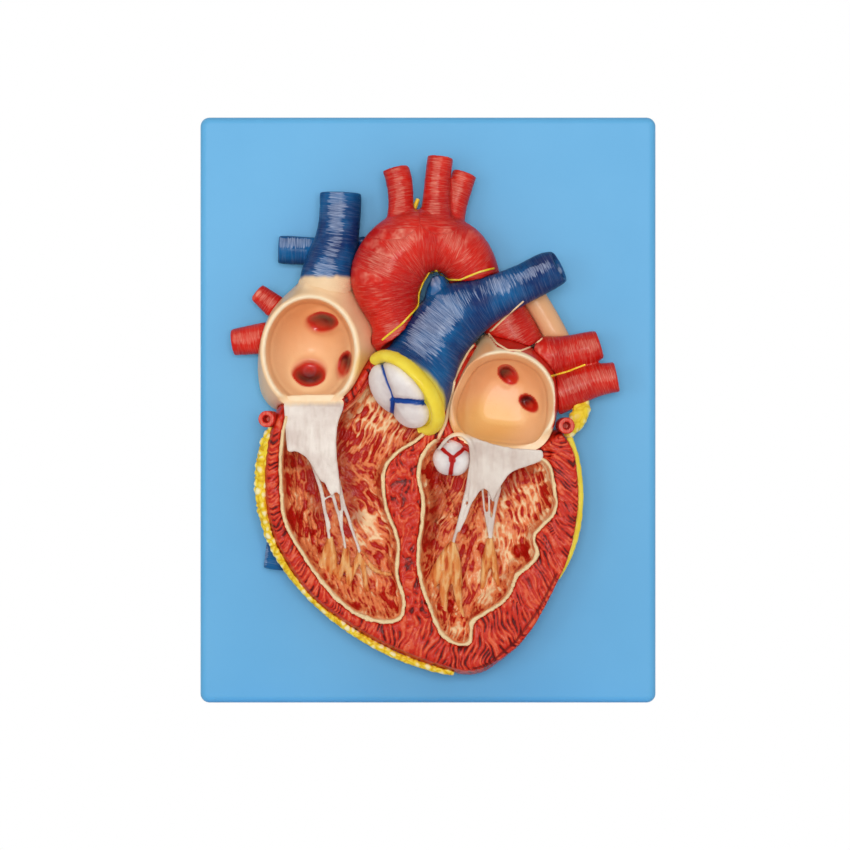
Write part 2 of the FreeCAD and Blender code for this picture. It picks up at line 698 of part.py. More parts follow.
def make_right_veins(atrium):
    upper = vessel("right_upper_pulmonary_vein", [
        (-130, 89.5, 19, "right_vein_tip"),
        (-117, 79, 20, (0.6, "right_vein_tip", "right_vein_base")),
        (-109, 72.5, 21, "right_vein_base"),
    ])
    lower = vessel("right_lower_pulmonary_vein", [
        (-148.5, 51.5, 17, "right_low_vein_tip"),
        (-131, 54, 18, (0.6, "right_low_vein_tip", "right_low_vein_base")),
        (-118, 55.5, 19, "right_low_vein_base"),
    ])
    first = seat("right_upper_pulmonary_vein", upper, [atrium])
    seat("right_lower_pulmonary_vein", lower, [atrium, first])


def make_left_veins(atrium, descending):
    upper = vessel("left_upper_pulmonary_vein", [
        (83, 43, 28, (0.5, "left_vein_base", "left_vein_tip")),
        (92, 41, 31, "left_vein_base"),
        (107, 43.5, 31, (0.4, "left_vein_base", "left_vein_tip")),
        (119, 46.3, 31, (0.55, "left_vein_base", "left_vein_tip")),
        (130.5, 50, 31, "left_vein_tip"),
    ])
    lower = vessel("left_lower_pulmonary_vein", [
        (94, 9, 30, "left_low_vein_base"),
        (103, 13.5, 31, "left_low_vein_base"),
        (118, 19.5, 32, (0.4, "left_low_vein_base", "left_low_vein_tip")),
        (143.5, 25, 33, "left_low_vein_tip"),
    ])
    first = seat("left_upper_pulmonary_vein", upper, [atrium, descending])
    second = seat("left_lower_pulmonary_vein", lower, [atrium, first])
    return first, second


def make_auricle(neighbours):
    form = vessel("left_auricle", [
        (72, 98, 16, "auricle_radius"),
        (84, 80, 17, "auricle_radius"),
        (101, 49, 18, "auricle_radius"),
    ])
    return seat("left_auricle", form, neighbours)


# ---------------------------------------------------------------- valves


def domed_cusps(name, place, crown, radius, turns, seam_depth):
    """A dome with three seams that run out from its middle at the given angles.

    seam_depth, a share of the crown, is how far behind the dome's widest plane they reach.
    """
    dome = doc.addObject("Part::Ellipsoid", name + "Dome")
    bind(dome, {"Radius1": "Sizes." + crown, "Radius2": "Sizes." + radius,
                "Radius3": "Sizes." + radius})
    dome.Placement = place
    seams = []
    for number, turn in enumerate(turns):
        seam = doc.addObject("Part::Box", "%sSeam%d" % (name, number))
        bind(seam, {"Length": "2 * Sizes." + radius, "Width": "Sizes.seam_width",
                    "Height": "%g * Sizes.%s" % (seam_depth + 2, crown)})
        local = Rotation(Vector(0, 0, 1), turn)
        corner = local.multVec(Vector(0, -size("seam_width") / 2, -seam_depth * size(crown)))
        seam.Placement = place.multiply(Placement(corner, local))
        seams.append(seam)
    cross = doc.addObject("Part::MultiFuse", name + "Seams")
    cross.Shapes = seams
    return cut(name + "Split", dome, cross)


def make_pulmonary_valve(trunk, neighbours):
    turn = facing(trunk_direction())
    centre = at(*TRUNK_ROOT)
    ring = doc.addObject("Part::Torus", "ValveRing")
    bind(ring, {"Radius1": "Sizes.trunk_root - 0.1 * Sizes.valve_ring_band",
                "Radius2": "Sizes.valve_ring_band", "Angle3": "Sizes.valve_ring_turn"})
    start = Rotation(Vector(0, 0, 1), -size("valve_ring_start"))
    ring.Placement = Placement(centre, turn.multiply(start))
    seat("pulmonary_valve_ring", ring, [trunk] + neighbours)
    low_side = turn.multVec(Vector(-1, 0, 0)) * size("cusp_shift")
    place = Placement(centre + low_side, turn)
    split = domed_cusps("PulmonaryCusps", place, "cusp_crown", "cusp_radius", (44, 155, 319),
                        seam_depth=2)
    return seat("pulmonary_valve_cusps", split, [trunk] + neighbours)


def make_aortic_valve(neighbours):
    place = Placement(at(18, -36, 44), facing(Vector(-0.15, -1, -0.1)))
    split = domed_cusps("AorticCusps", place, "aortic_cusp_crown", "aortic_cusp_radius",
                        (7, 105, 228), seam_depth=0.3)
    return seat("aortic_valve_cusps", split, neighbours)


def make_leaflet(node, outline, hinge_z, neighbours):
    """Valve leaflet as a plate that dips from its upper edge into the hollow."""
    body = doc.addObject("PartDesign::Body", node + "_plate")
    sketch = body.newObject("Sketcher::SketchObject", node + "_outline")
    sketch.AttachmentSupport = [(front_plane(body), "")]
    sketch.MapMode = "FlatFace"
    wide = size("heart_width") / DRAWN_WIDTH
    points = [Vector(x * wide, (z - hinge_z) * wide, 0) for x, z in outline]
    sketch.addGeometry(smooth_loop(points, outline), False)
    pad(body, node + "_pad", sketch, "Sizes.leaflet_thick")
    body.Placement = Placement(Vector(0, 0, 0), Rotation(Vector(1, 0, 0), size("leaflet_tilt")))
    bind(body, {".Placement.Base.z": place_x(hinge_z),
                ".Placement.Base.y": "-(Sizes.board_depth + Sizes.cut_height)"})
    return seat(node, body, neighbours)


def spindle(name, start, end, start_radius, end_radius):
    """Straight tapering rod between two drawn points."""
    foot, tip = at(*start), at(*end)
    rod = doc.addObject("Part::Cone", name)
    rod.Placement = Placement(foot, facing(tip - foot))
    rod.Height = (tip - foot).Length
    bind(rod, {"Radius1": "Sizes." + start_radius, "Radius2": "Sizes." + end_radius})
    return rod


def make_papillaries(node, muscles, hollow):
    """Muscles that stand on the hollow's floor, each kept to what shows inside the hollow."""
    solids = []
    for number, (head, foot) in enumerate(muscles):
        rod = spindle("%s_%d" % (node, number), head, foot, "papillary_head", "papillary_foot")
        inside = doc.addObject("Part::Common", "%s_inside_%d" % (node, number))
        inside.Base = rod
        inside.Tool = hollow
        solids.append(inside)
    return group(node, solids)


def make_chordae(node, strands, leaflet, papillaries):
    solids = []
    for number, (top, end) in enumerate(strands):
        form = spindle("%s_%d" % (node, number), top, end, "chorda_radius", "chorda_radius")
        hung = cut("%s_top_%d" % (node, number), form, leaflet)
        solids.append(cut("%s_end_%d" % (node, number), hung, papillaries))
    return group(node, solids)


RIGHT_MUSCLES = [
    [(-74, -97, 41), (-83, -137, 20)],
    [(-62, -105, 40), (-62, -142, 20)],
    [(-51, -107, 39), (-37, -138, 20)],
]
LEFT_MUSCLES = [
    [(20, -100, 41), (12, -142, 20)],
    [(47, -100, 41), (50, -128, 20)],
]
RIGHT_CHORDAE = [
    [(-82, -51, 45), (-74.2, -100, 40)],
    [(-74, -56, 45), (-62, -108, 39)],
    [(-66, -60, 45), (-50.5, -110, 38)],
]
LEFT_CHORDAE = [
    [(30.5, -72, 44), (20, -103, 40)],
    [(50, -82, 43), (47, -103, 40)],
]

# ---------------------------------------------------------------- fat and coronary arteries


def make_fat(neighbours_left, neighbours_right, neighbours_pad):
    left = vessel("left_fat_band", [
        (-120.5, -20, 40, (0.5, "fat_thick", "fat_thin")),
        (-125, -43, 40, "fat_thick"),
        (-124, -74, 40, "fat_thick"),
        (-110, -112, 40, (0.3, "fat_thick", "fat_thin")),
        (-81, -148, 40, (0.7, "fat_thick", "fat_thin")),
        (-38, -179, 40, "fat_thin"),
        (20, -198.5, 40, "fat_thin"),
    ])
    left_band = seat("left_fat_band", left, neighbours_left)
    right = vessel("right_fat_band", [
        (110, -22, 40, "right_fat_thick"),
        (117.5, -54, 40, "right_fat_thick"),
        (116.5, -86, 40, "right_fat_thick"),
        (100, -128, 40, "right_fat_thick"),
    ])
    right_band = seat("right_fat_band", right, neighbours_right)
    lump = doc.addObject("Part::Ellipsoid", "FatLump")
    bind_place(lump, 114, -6, 34)
    bind(lump, {"Radius1": "Sizes.fat_pad_tall", "Radius2": "Sizes.fat_pad_wide",
                "Radius3": "Sizes.fat_pad_wide"})
    pad_piece = seat("fat_pad", lump, [right_band] + neighbours_pad)
    return left_band, pad_piece


def make_coronary(node, x, z, lean, neighbours):
    """Cut end of a coronary artery, a short tube that points to the front."""
    centre = at(x, z, 36)
    direction = Vector(lean, -1, 0)
    tube = doc.addObject("Part::Cylinder", node + "_tube")
    bore = doc.addObject("Part::Cylinder", node + "_bore")
    for thing, radius, start in ((tube, "coronary_radius", 0), (bore, "coronary_bore", 10)):
        thing.Placement = Placement(centre + direction * start, facing(direction))
        bind(thing, {"Radius": "Sizes." + radius, "Height": "Sizes.coronary_length"})
    return seat(node, tube, [bore] + neighbours)


# ---------------------------------------------------------------- assembly


def make_model():
    board = make_board()
    make_panel()
    make_screws()
    wall, (right_lining, left_lining), (right_hollow, left_hollow) = make_heart_wall()
    trunk = make_pulmonary_trunk([wall, right_lining])
    make_pulmonary_valve(trunk, [wall, right_lining])
    arch = make_aortic_arch([trunk, wall])
    make_branches(arch)
    right_atrium = make_right_atrium([wall, arch, trunk])
    left_atrium = make_left_atrium([wall, trunk])
    descending = make_descending_aorta([arch, trunk, left_atrium])
    cava = make_superior_cava([right_atrium, arch])
    make_side_vein([cava, arch])
    make_right_veins(right_atrium)
    upper_vein, lower_vein = make_left_veins(left_atrium, descending)
    make_auricle([trunk, descending, upper_vein, left_atrium])
    left_band, fat_pad = make_fat([wall, right_atrium], [wall], [wall, lower_vein, left_atrium])
    make_inferior_cava([wall, left_band])
    make_coronary("right_coronary_stub", -118, -7, -0.2, [wall, right_atrium])
    make_coronary("left_coronary_stub", 102.5, -12, 0.1,
                  [wall, left_atrium, lower_vein, fat_pad])
    make_aortic_valve([wall, left_lining, left_atrium])
    tricuspid = make_leaflet("tricuspid_leaflet", TRICUSPID_OUTLINE, 3,
                             [wall, right_lining, right_atrium])
    mitral = make_leaflet("mitral_leaflet", MITRAL_OUTLINE, -24,
                          [wall, left_lining, left_atrium])
    right_muscles = make_papillaries("right_papillary_muscles", RIGHT_MUSCLES, right_hollow)
    left_muscles = make_papillaries("left_papillary_muscles", LEFT_MUSCLES, left_hollow)
    make_chordae("tricuspid_chordae", RIGHT_CHORDAE, tricuspid, right_muscles)
    make_chordae("mitral_chordae", LEFT_CHORDAE, mitral, left_muscles)


def check_and_write():
    doc.recompute()
    for thing in doc.Objects:
        if "Invalid" in thing.State or "Error" in thing.State:
            raise RuntimeError("%s failed: %s" % (thing.Label, thing.State))
    for part in PARTS:
        if part.Shape.isNull() or not part.Shape.isValid():
            raise RuntimeError("%s has no valid shape" % part.Label)
    os.makedirs("parts", exist_ok=True)
    for part in PARTS:
        part.Shape.exportStep("parts/%s.step" % part.Label)
    print("%d nodes, %d solids" % (len(PARTS), sum(len(p.Shape.Solids) for p in PARTS)))


make_model()
check_and_write()
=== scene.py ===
import math
from itertools import product

import bpy
import numpy as np
from mathutils import Matrix, Vector
from mathutils.bvhtree import BVHTree


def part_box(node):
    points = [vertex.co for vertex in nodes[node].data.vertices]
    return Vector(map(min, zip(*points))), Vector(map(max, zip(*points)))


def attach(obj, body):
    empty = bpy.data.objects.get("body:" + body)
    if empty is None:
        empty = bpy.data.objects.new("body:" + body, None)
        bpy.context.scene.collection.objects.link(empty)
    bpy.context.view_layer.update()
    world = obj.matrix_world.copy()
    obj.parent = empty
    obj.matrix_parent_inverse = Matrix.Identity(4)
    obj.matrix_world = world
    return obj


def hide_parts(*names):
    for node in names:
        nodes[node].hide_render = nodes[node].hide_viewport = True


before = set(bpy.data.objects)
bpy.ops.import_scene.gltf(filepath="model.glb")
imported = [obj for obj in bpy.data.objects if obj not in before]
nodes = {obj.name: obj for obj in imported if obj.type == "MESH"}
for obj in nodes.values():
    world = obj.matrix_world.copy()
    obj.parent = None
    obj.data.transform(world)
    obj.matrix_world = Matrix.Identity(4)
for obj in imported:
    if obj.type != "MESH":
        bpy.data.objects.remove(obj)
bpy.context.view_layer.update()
mm = 0.001
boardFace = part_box("base_board")[0].y      # front of the board
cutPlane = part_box("heart_wall")[0].y       # where the heart is cut open
print("Frame loaded:", len(nodes), "nodes")


# noise on arrays of points, in the units of the points

hashing = {
    "cell": (374761393, 668265263, 1103515245), "seed": 69069, "bits": 0x7FFFFFFF, "kept": 0xFFFFF,
    "rounds": ((13, 1274126177), (15, 1911520717)), "last": 11,
}
lumpShape = {"far": 9.0, "slope": 1.6, "power": 0.6}


def cellValue(cell, seed):
    # repeatable number from 0 to 1 for each whole-numbered cell
    mixed = (cell * hashing["cell"]).sum(axis=1) + seed * hashing["seed"]
    for shift, factor in hashing["rounds"]:
        mixed = (mixed ^ (mixed >> shift)) * factor & hashing["bits"]
    return ((mixed ^ (mixed >> hashing["last"])) & hashing["kept"]) / hashing["kept"]


def softNoise(spots, seed):
    # smooth values from -1 to 1
    cell = np.floor(spots).astype(np.int64)
    part = spots - cell
    part = part * part * (3 - 2 * part)
    total = np.zeros(len(spots))
    for corner in product((0, 1), repeat=3):
        weight = np.where(corner, part, 1 - part).prod(axis=1)
        total += weight * cellValue(cell + corner, seed)
    return total * 2 - 1


def layeredNoise(spots, seed):
    return (softNoise(spots, seed) + 0.5 * softNoise(spots * 2.1, seed + 1)
            + 0.25 * softNoise(spots * 4.3, seed + 2)) / 1.4


def lumps(spots, seed):
    # rounded cells: 1 at the middle of a lump, 0 in the creases between lumps
    cell = np.floor(spots).astype(np.int64)
    first = np.full(len(spots), lumpShape["far"])
    second = first
    for step in product((-1, 0, 1), repeat=3):
        there = cell + step
        middle = there + np.stack([cellValue(there, seed + i) for i in range(3)], axis=1)
        distance = np.linalg.norm(middle - spots, axis=1)
        second = np.minimum(second, np.maximum(first, distance))
        first = np.minimum(first, distance)
    return np.clip((second - first) * lumpShape["slope"], 0, 1) ** lumpShape["power"]


def ease(low, high, value):
    share = np.clip((value - low) / (high - low), 0, 1)
    return share * share * (3 - 2 * share)


def fade(low, high, value):
    return 1 - ease(low, high, value)


def uneven(spots, size, seed, depth, noise=softNoise):
    return depth * noise(spots / size, seed)


def nearPath(spots, path):
    # distance to a line of straight runs, and how far along it the nearest point is
    path = np.array(path, float)
    best = np.full(len(spots), np.inf)
    along = np.zeros(len(spots))
    travelled = 0.0
    for start, end in zip(path[:-1], path[1:]):
        run = end - start
        length = np.linalg.norm(run)
        share = np.clip((spots - start) @ run / length ** 2, 0, 1)
        distance = np.linalg.norm(spots - start - share[:, None] * run, axis=1)
        along = np.where(distance < best, travelled + share * length, along)
        best = np.minimum(best, distance)
        travelled += length
    return best, along


def awayFrom(spots, path):
    return nearPath(spots, path)[0]


def turnedAt(flat, x, z, angle):
    # how far each spot lies from (x, z) along a direction, and across it
    turn = math.radians(angle)
    right, up = flat[:, 0] - x, flat[:, 1] - z
    return right * math.cos(turn) + up * math.sin(turn), up * math.cos(turn) - right * math.sin(turn)


def turnedBack(x, z, angle, along, across):
    # where a spot lies that is so far from (x, z) along a direction, and across it
    turn = math.radians(angle)
    return (x + along * math.cos(turn) - across * math.sin(turn),
            z + along * math.sin(turn) + across * math.cos(turn))


def inEllipse(flat, x, z, wide, tall, turn=0.0):
    # 0 at the middle, 1 on the edge
    along, across = turnedAt(flat, x, z, turn)
    return np.hypot(along / wide, across / tall)


def falloff(flat, x, z, reach):
    # 1 at (x, z), fading away around it
    return np.exp(-((flat[:, 0] - x) ** 2 + (flat[:, 1] - z) ** 2) / reach ** 2)


# work on pieces

probe = {"from": 150, "missed": 10.0}      # heights over the board where a ray starts, and where none hits
tooNear = 1e-6                             # vertices closer than this are merged
curveLooks = {
    "strand": {"dimensions": "3D", "bevel_depth": mm, "bevel_resolution": 3, "resolution_u": 10,
               "use_fill_caps": True},
    "sheet": {"dimensions": "2D", "fill_mode": "BOTH"},
}


def pick(*pieces):
    bpy.ops.object.select_all(action="DESELECT")
    for piece in pieces:
        piece.select_set(True)
    bpy.context.view_layer.objects.active = pieces[0]


def finishModifier(piece, kind, **settings):
    pick(piece)
    modifier = piece.modifiers.new(kind.title(), kind)
    for name, value in settings.items():
        setattr(modifier, name, value)
    bpy.ops.object.modifier_apply(modifier=modifier.name)


def joined(name, pieces):
    pick(*pieces)
    if len(pieces) > 1:
        bpy.ops.object.join()
    piece = bpy.context.object
    piece.name = name
    piece.data.name = name
    return piece


def linked(name, data):
    piece = bpy.data.objects.new(name, data)
    bpy.context.scene.collection.objects.link(piece)
    return piece


def merged(piece, turnOut=False):
    # joins vertices that lie together, and turns the faces outwards if asked
    pick(piece)
    bpy.ops.object.mode_set(mode="EDIT")
    bpy.ops.mesh.select_all(action="SELECT")
    bpy.ops.mesh.remove_doubles(threshold=tooNear)
    if turnOut:
        bpy.ops.mesh.normals_make_consistent(inside=False)
    bpy.ops.object.mode_set(mode="OBJECT")
    return piece


def copyOf(kit):
    # a merged copy of the solids that a piece starts from
    copies = [linked(kit["name"], nodes[nodeName].data.copy()) for nodeName in kit["nodes"]]
    for copy in copies:
        copy.data.materials.clear()
    return merged(joined(kit["name"], copies))


def place(x, z, height):
    # millimetres right and up of the board's middle, and in front of its face
    return Vector((x * mm, boardFace - height * mm, z * mm))


def searchTree(piece):
    return BVHTree.FromPolygons([v.co for v in piece.data.vertices],
                                [list(f.vertices) for f in piece.data.polygons])


def heightAt(trees, x, z):
    # height over the board's face of the foremost surface there
    start = place(x, z, probe["from"])
    hits = [tree.ray_cast(start, Vector((0, 1, 0)))[0] for tree in trees]
    return max([(boardFace - hit.y) / mm for hit in hits if hit] or [probe["missed"]])


def curved(kind, spots, radii):
    # mesh made from one smooth curve, which closes on itself if it lies flat
    curve = bpy.data.curves.new(kind, "CURVE")
    for name, value in curveLooks[kind].items():
        setattr(curve, name, value)
    spline = curve.splines.new("NURBS")
    spline.points.add(len(spots) - 1)
    for point, spot, radius in zip(spline.points, spots, radii):
        point.co = (*spot, 1)
        point.radius = radius
    spline.order_u = 3
    spline.use_cyclic_u = kind == "sheet"
    spline.use_endpoint_u = kind == "strand"
    return curve


def strand(route):
    # tapering round cord through (x, z, height, radius), as a closed mesh
    curve = curved("strand", [place(*spot[:3]) for spot in route], [spot[3] for spot in route])
    pick(linked("strand", curve))
    bpy.ops.object.convert(target="MESH")
    return bpy.context.object


def sheet(outline, top, slope, thickness):
    # closed plate with a smooth outline in x and z, at a height over the board that slopes with z
    curve = curved("sheet", [(*spot, 0) for spot in outline], [1] * len(outline))
    curve.extrude = thickness / 2
    pick(linked("sheet", curve))
    bpy.ops.object.convert(target="MESH")
    piece = bpy.context.object
    for vertex in piece.data.vertices:
        x, z, through = vertex.co
        vertex.co = place(x, z, top + slope * z + through)
    return merged(piece, turnOut=True)


def cast(piece, voxel, smooth):
    # melts a piece's overlapping forms into one skin, as in a casting
    finishModifier(piece, "REMESH", mode="VOXEL", voxel_size=voxel * mm, use_smooth_shade=True)
    finishModifier(piece, "SMOOTH", factor=0.5, iterations=smooth)
    return piece


def melted(kit, shared, parts=()):
    looks = {**shared, **kit}
    strands = [strand(route) for route in kit.get("strands", ())]
    return cast(joined(kit["name"], [*parts] + strands), looks["voxel"], looks["smooth"])


def divideFront(piece, facing, behind):
    # finer faces on what faces the front and lies no further behind the cut than this
    pick(piece)
    bpy.ops.object.mode_set(mode="EDIT")
    bpy.ops.mesh.select_all(action="DESELECT")
    bpy.ops.object.mode_set(mode="OBJECT")
    for face in piece.data.polygons:
        face.select = face.normal.y < facing and face.center.y < cutPlane + behind * mm
    bpy.ops.object.mode_set(mode="EDIT")
    bpy.ops.mesh.subdivide(number_cuts=1, quadcorner="INNERVERT")
    bpy.ops.object.mode_set(mode="OBJECT")


def vertexRows(piece, what):
    flat = np.empty(len(piece.data.vertices) * 3, np.float32)
    piece.data.vertices.foreach_get(what, flat)
    return flat.reshape(-1, 3).astype(float)


def normals(piece):
    return vertexRows(piece, "normal")


def points(piece):
    # each vertex in millimetres: right, height above the board's face, up
    found = vertexRows(piece, "co") / mm
    found[:, 1] = boardFace / mm - found[:, 1]
    return found


def surface(piece):
    # each vertex as above, then only right and up, then how much it faces the front
    where = points(piece)
    return where, where[:, [0, 2]], -normals(piece)[:, 1]


def push(piece, amount, direction=None):
    # moves each vertex by millimetres along its normal, or along a given direction
    moved = normals(piece) if direction is None else np.tile(np.array(direction, float), (len(amount), 1))
    places = vertexRows(piece, "co") + moved * amount[:, None] * mm
    piece.data.vertices.foreach_set("co", places.astype(np.float32).ravel())
    piece.data.update()


def mask(piece, name, values):
    # a value at each vertex that the piece's paint reads
    attribute = piece.data.attributes.new(name, "FLOAT", "POINT")
    attribute.data.foreach_set("value", np.asarray(values, np.float32))


def smoothWhere(piece, weights, rounds):
    # evens out a piece only where the weights say so
    group = piece.vertex_groups.new(name="evened")
    for index in np.flatnonzero(weights > 0.02):
        group.add([int(index)], float(weights[index]), "REPLACE")
    finishModifier(piece, "SMOOTH", factor=0.5, iterations=rounds, vertex_group="evened")
    piece.vertex_groups.clear()


def finishPiece(piece, paintName, stands=()):
    slot, paint = paints[paintName]
    pick(piece)
    bpy.ops.object.shade_smooth()
    piece.data.materials.clear()
    piece.data.materials.append(paint)
    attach(piece, "root")
    if stands:
        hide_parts(*stands)
    print("Made", piece.name, len(piece.data.polygons), "faces")


# paints

def colour(screen):
    # a screen colour, three numbers from 0 to 255, as the shader's own
    return (*[((c / 255 + 0.055) / 1.055) ** 2.4 if c > 10 else c / 3295 for c in screen], 1)


def groupTree(name, inputs, outputs):
    tree = bpy.data.node_groups.new(name, "ShaderNodeTree")
    for side, sockets in (("INPUT", inputs), ("OUTPUT", outputs)):
        for label, kind in sockets.items():
            tree.interface.new_socket(label, in_out=side, socket_type="NodeSocket" + kind)
    return tree, tree.nodes.new("NodeGroupInput").outputs, tree.nodes.new("NodeGroupOutput").inputs


def add(tree, kind, inputs=None, **settings):
    node = tree.nodes.new("ShaderNode" + kind)
    for name, value in settings.items():
        setattr(node, name, value)
    for name, value in (inputs or {}).items():
        if isinstance(value, bpy.types.NodeSocket):
            tree.links.new(value, node.inputs[name])
        else:
            isColour = isinstance(value, tuple) and len(value) == 3
            node.inputs[name].default_value = colour(value) if isColour else value
    return node


def maths(tree, operation, first, second=0.0, third=0.0):
    return add(tree, "Math", {0: first, 1: second, 2: third}, operation=operation).outputs[0]


def times(tree, first, *others):
    for other in others:
        first = maths(tree, "MULTIPLY", first, other)
    return first


mixSockets = {"share": 0, "first": 6, "second": 7, "result": 2}      # where a colour mix has them


def blend(tree, share, first, second):
    sockets = {mixSockets["share"]: share, mixSockets["first"]: first, mixSockets["second"]: second}
    return add(tree, "Mix", sockets, data_type="RGBA").outputs[mixSockets["result"]]


def fromTo(tree, value, low, high):
    node = add(tree, "MapRange", {"Value": value, "From Min": low, "From Max": high},
               interpolation_type="SMOOTHSTEP")
    return node.outputs["Result"]


def noiseAt(tree, spot, scale, detail, roughness):
    return add(tree, "TexNoise", {"Vector": spot, "Scale": scale, "Detail": detail,
                                  "Roughness": roughness}).outputs["Fac"]


strokes = {"lanes": {"Streak": (1.0, 0.38, 0.66), "Fine": (2.7, 0.35, 0.68)}, "noise": (1.0, 2.0, 0.6)}


def makeStrokes():
    # bristle marks that run round a vessel: narrow along it, long across it
    tree, given, out = groupTree(
        "brushStrokes", {"Along": "Float", "Position": "Vector", "Pitch": "Float", "Length": "Float"},
        {"Streak": "Float", "Fine": "Float"})
    axes = add(tree, "SeparateXYZ", {0: given["Position"]}).outputs
    across = [maths(tree, "DIVIDE", axes[axis], given["Length"]) for axis in ("X", "Z")]
    for label, (finer, low, high) in strokes["lanes"].items():
        lane = maths(tree, "DIVIDE", times(tree, given["Along"], finer), given["Pitch"])
        spot = add(tree, "CombineXYZ", {"X": lane, "Y": across[0], "Z": across[1]}).outputs[0]
        tree.links.new(fromTo(tree, noiseAt(tree, spot, *strokes["noise"]), low, high), out[label])
    return tree


mottling = {
    "Tone": ((1.0, 4.0, 0.55), (0.3, 0.7)),       # scale, detail and roughness, then what becomes 0 and 1
    "Specks": ((6.0, 3.0, 0.7), (0.55, 0.75)),
}


def makeMottle():
    # slow changes of tone and small specks in hand-laid paint
    tree, given, out = groupTree("paintMottle", {"Position": "Vector", "Size": "Float"},
                                 {"Tone": "Float", "Specks": "Float"})
    spot = add(tree, "VectorMath", {0: given["Position"], "Scale": maths(tree, "DIVIDE", 1.0, given["Size"])},
               operation="SCALE").outputs[0]
    for label, (noise, limits) in mottling.items():
        tree.links.new(fromTo(tree, noiseAt(tree, spot, *noise), *limits), out[label])
    return tree


carving = {
    "toneDepth": 0.35,                # how much the slow tone shifts the relief
    # toGlint and glint: where and in what colour the painted glints, small painted highlights, go on the
    # crests
    "toBody": (0.08, 0.48), "toCrest": (0.52, 1.0), "toGlint": (0.5, 0.8), "glint": (255, 222, 205),
}


def makeCarvedPaint():
    # darker in the creases, body colour on the slopes, lighter on the crests: partly the paint's own colours,
    # partly painted shade in the creases and painted highlights on the crests
    tree, given, out = groupTree(
        "carvedPaint",
        {"Relief": "Float", "Tone": "Float", "Specks": "Float", "Glint": "Float", "Crease": "Color",
         "Body": "Color", "Crest": "Color"},
        {"Color": "Color"})
    tone = times(tree, maths(tree, "SUBTRACT", given["Tone"], 0.5), carving["toneDepth"])
    depth = maths(tree, "ADD", given["Relief"], tone)
    low = blend(tree, fromTo(tree, depth, *carving["toBody"]), given["Crease"], given["Body"])
    crested = blend(tree, fromTo(tree, depth, *carving["toCrest"]), low, given["Crest"])
    # painted glints: a pinkish white painted highlight on specks of the higher crests
    glint = times(tree, fromTo(tree, depth, *carving["toGlint"]), given["Specks"], given["Glint"])
    tree.links.new(blend(tree, glint, crested, carving["glint"]), out["Color"])
    return tree


strokeGroup = makeStrokes()
mottleGroup = makeMottle()
carvedGroup = makeCarvedPaint()


def grouped(tree, group, inputs):
    return add(tree, "Group", inputs, node_tree=group).outputs


looksSockets = {"gloss": "Roughness", "mirror": "Specular IOR Level", "coat": "Coat Weight",
                "coatGloss": "Coat Roughness", "metal": "Metallic"}
plainLooks = {"gloss": 0.3, "mirror": 0.12, "coat": 0.06, "coatGloss": 0.14}


def newPaint(name, **looks):
    paint = bpy.data.materials.new(name)
    paint.use_nodes = True
    tree = paint.node_tree
    shader = tree.nodes["Principled BSDF"]
    for label, value in {**plainLooks, **looks}.items():
        shader.inputs[looksSockets[label]].default_value = value
    return paint, tree, shader, add(tree, "TexCoord").outputs["Object"]


def mottled(tree, position, size):
    return grouped(tree, mottleGroup, {"Position": position, "Size": size * mm})


def attributeValue(tree, name):
    return add(tree, "Attribute", attribute_name=name).outputs["Fac"]


def bump(tree, shader, height, distance, strength):
    node = add(tree, "Bump", {"Height": height, "Distance": distance * mm, "Strength": strength})
    tree.links.new(node.outputs["Normal"], shader.inputs["Normal"])


def layPaint(tree, shader, base, overlays):
    # the base colour, with further paints laid where their masks are
    for name, paintColour in overlays.items():
        base = blend(tree, attributeValue(tree, name), base, paintColour)
    tree.links.new(base, shader.inputs["Base Color"])


def carvedMaterial(name, crease, body, crest, overlays, mottle=9.0, glint=0.4):
    paint, tree, shader, position = newPaint(name, gloss=0.32)
    tones = mottled(tree, position, mottle)
    painted = grouped(tree, carvedGroup, {"Relief": attributeValue(tree, "relief"), "Tone": tones["Tone"],
                                          "Specks": tones["Specks"], "Glint": glint,
                                          "Crease": crease, "Body": body, "Crest": crest})
    layPaint(tree, shader, painted["Color"], overlays)
    bump(tree, shader, tones["Specks"], 0.25, 0.6)
    return paint


def vesselMaterial(name, look, overlays):
    paint, tree, shader, position = newPaint(name, coat=0.08)
    marks = grouped(tree, strokeGroup, {"Along": attributeValue(tree, "along"), "Position": position,
                                        "Pitch": look["pitch"] * mm, "Length": look["length"] * mm})
    base = blend(tree, mottled(tree, position, look["mottle"])["Tone"], look["shade"], look["body"])
    # painted shade towards the sides and on the low side, read from the edge mask
    base = blend(tree, times(tree, attributeValue(tree, "edge"), look["sides"]), base, look["shade"])
    # painted highlight: scratches in the light colour where the lit mask faces the painted light, and faint
    # ones all over
    ragged = maths(tree, "MULTIPLY_ADD", marks["Streak"], 0.7, attributeValue(tree, "lit"))
    hairs = maths(tree, "MULTIPLY_ADD", marks["Fine"], 0.8, 0.15)
    highlightBand = times(tree, fromTo(tree, ragged, *look["highlightRange"]), hairs)
    stray = times(tree, marks["Streak"], marks["Fine"], look["faint"])
    light = times(tree, maths(tree, "MAXIMUM", highlightBand, stray), look["strength"])
    layPaint(tree, shader, blend(tree, light, base, look["light"]), overlays)
    bump(tree, shader, maths(tree, "ADD", marks["Streak"], marks["Fine"]), 0.22, 0.55)
    return paint


plain = {"gloss": 0.34, "coat": 0.15, "wetCoat": 0.7, "mottle": 20.0, "grain": (0.2, 0.4)}


def plainPaint(name, body, shade, overlays, wet=None):
    # wet names the mask where the paint shines more
    paint, tree, shader, position = newPaint(name, gloss=plain["gloss"], coat=plain["coat"])
    if wet:
        shine = maths(tree, "MULTIPLY_ADD", attributeValue(tree, wet), plain["wetCoat"], plain["coat"])
        tree.links.new(shine, shader.inputs["Coat Weight"])
    tones = mottled(tree, position, plain["mottle"])
    layPaint(tree, shader, blend(tree, tones["Tone"], shade, body), overlays)
    bump(tree, shader, maths(tree, "ADD", tones["Tone"], tones["Specks"]), *plain["grain"])
    return paint
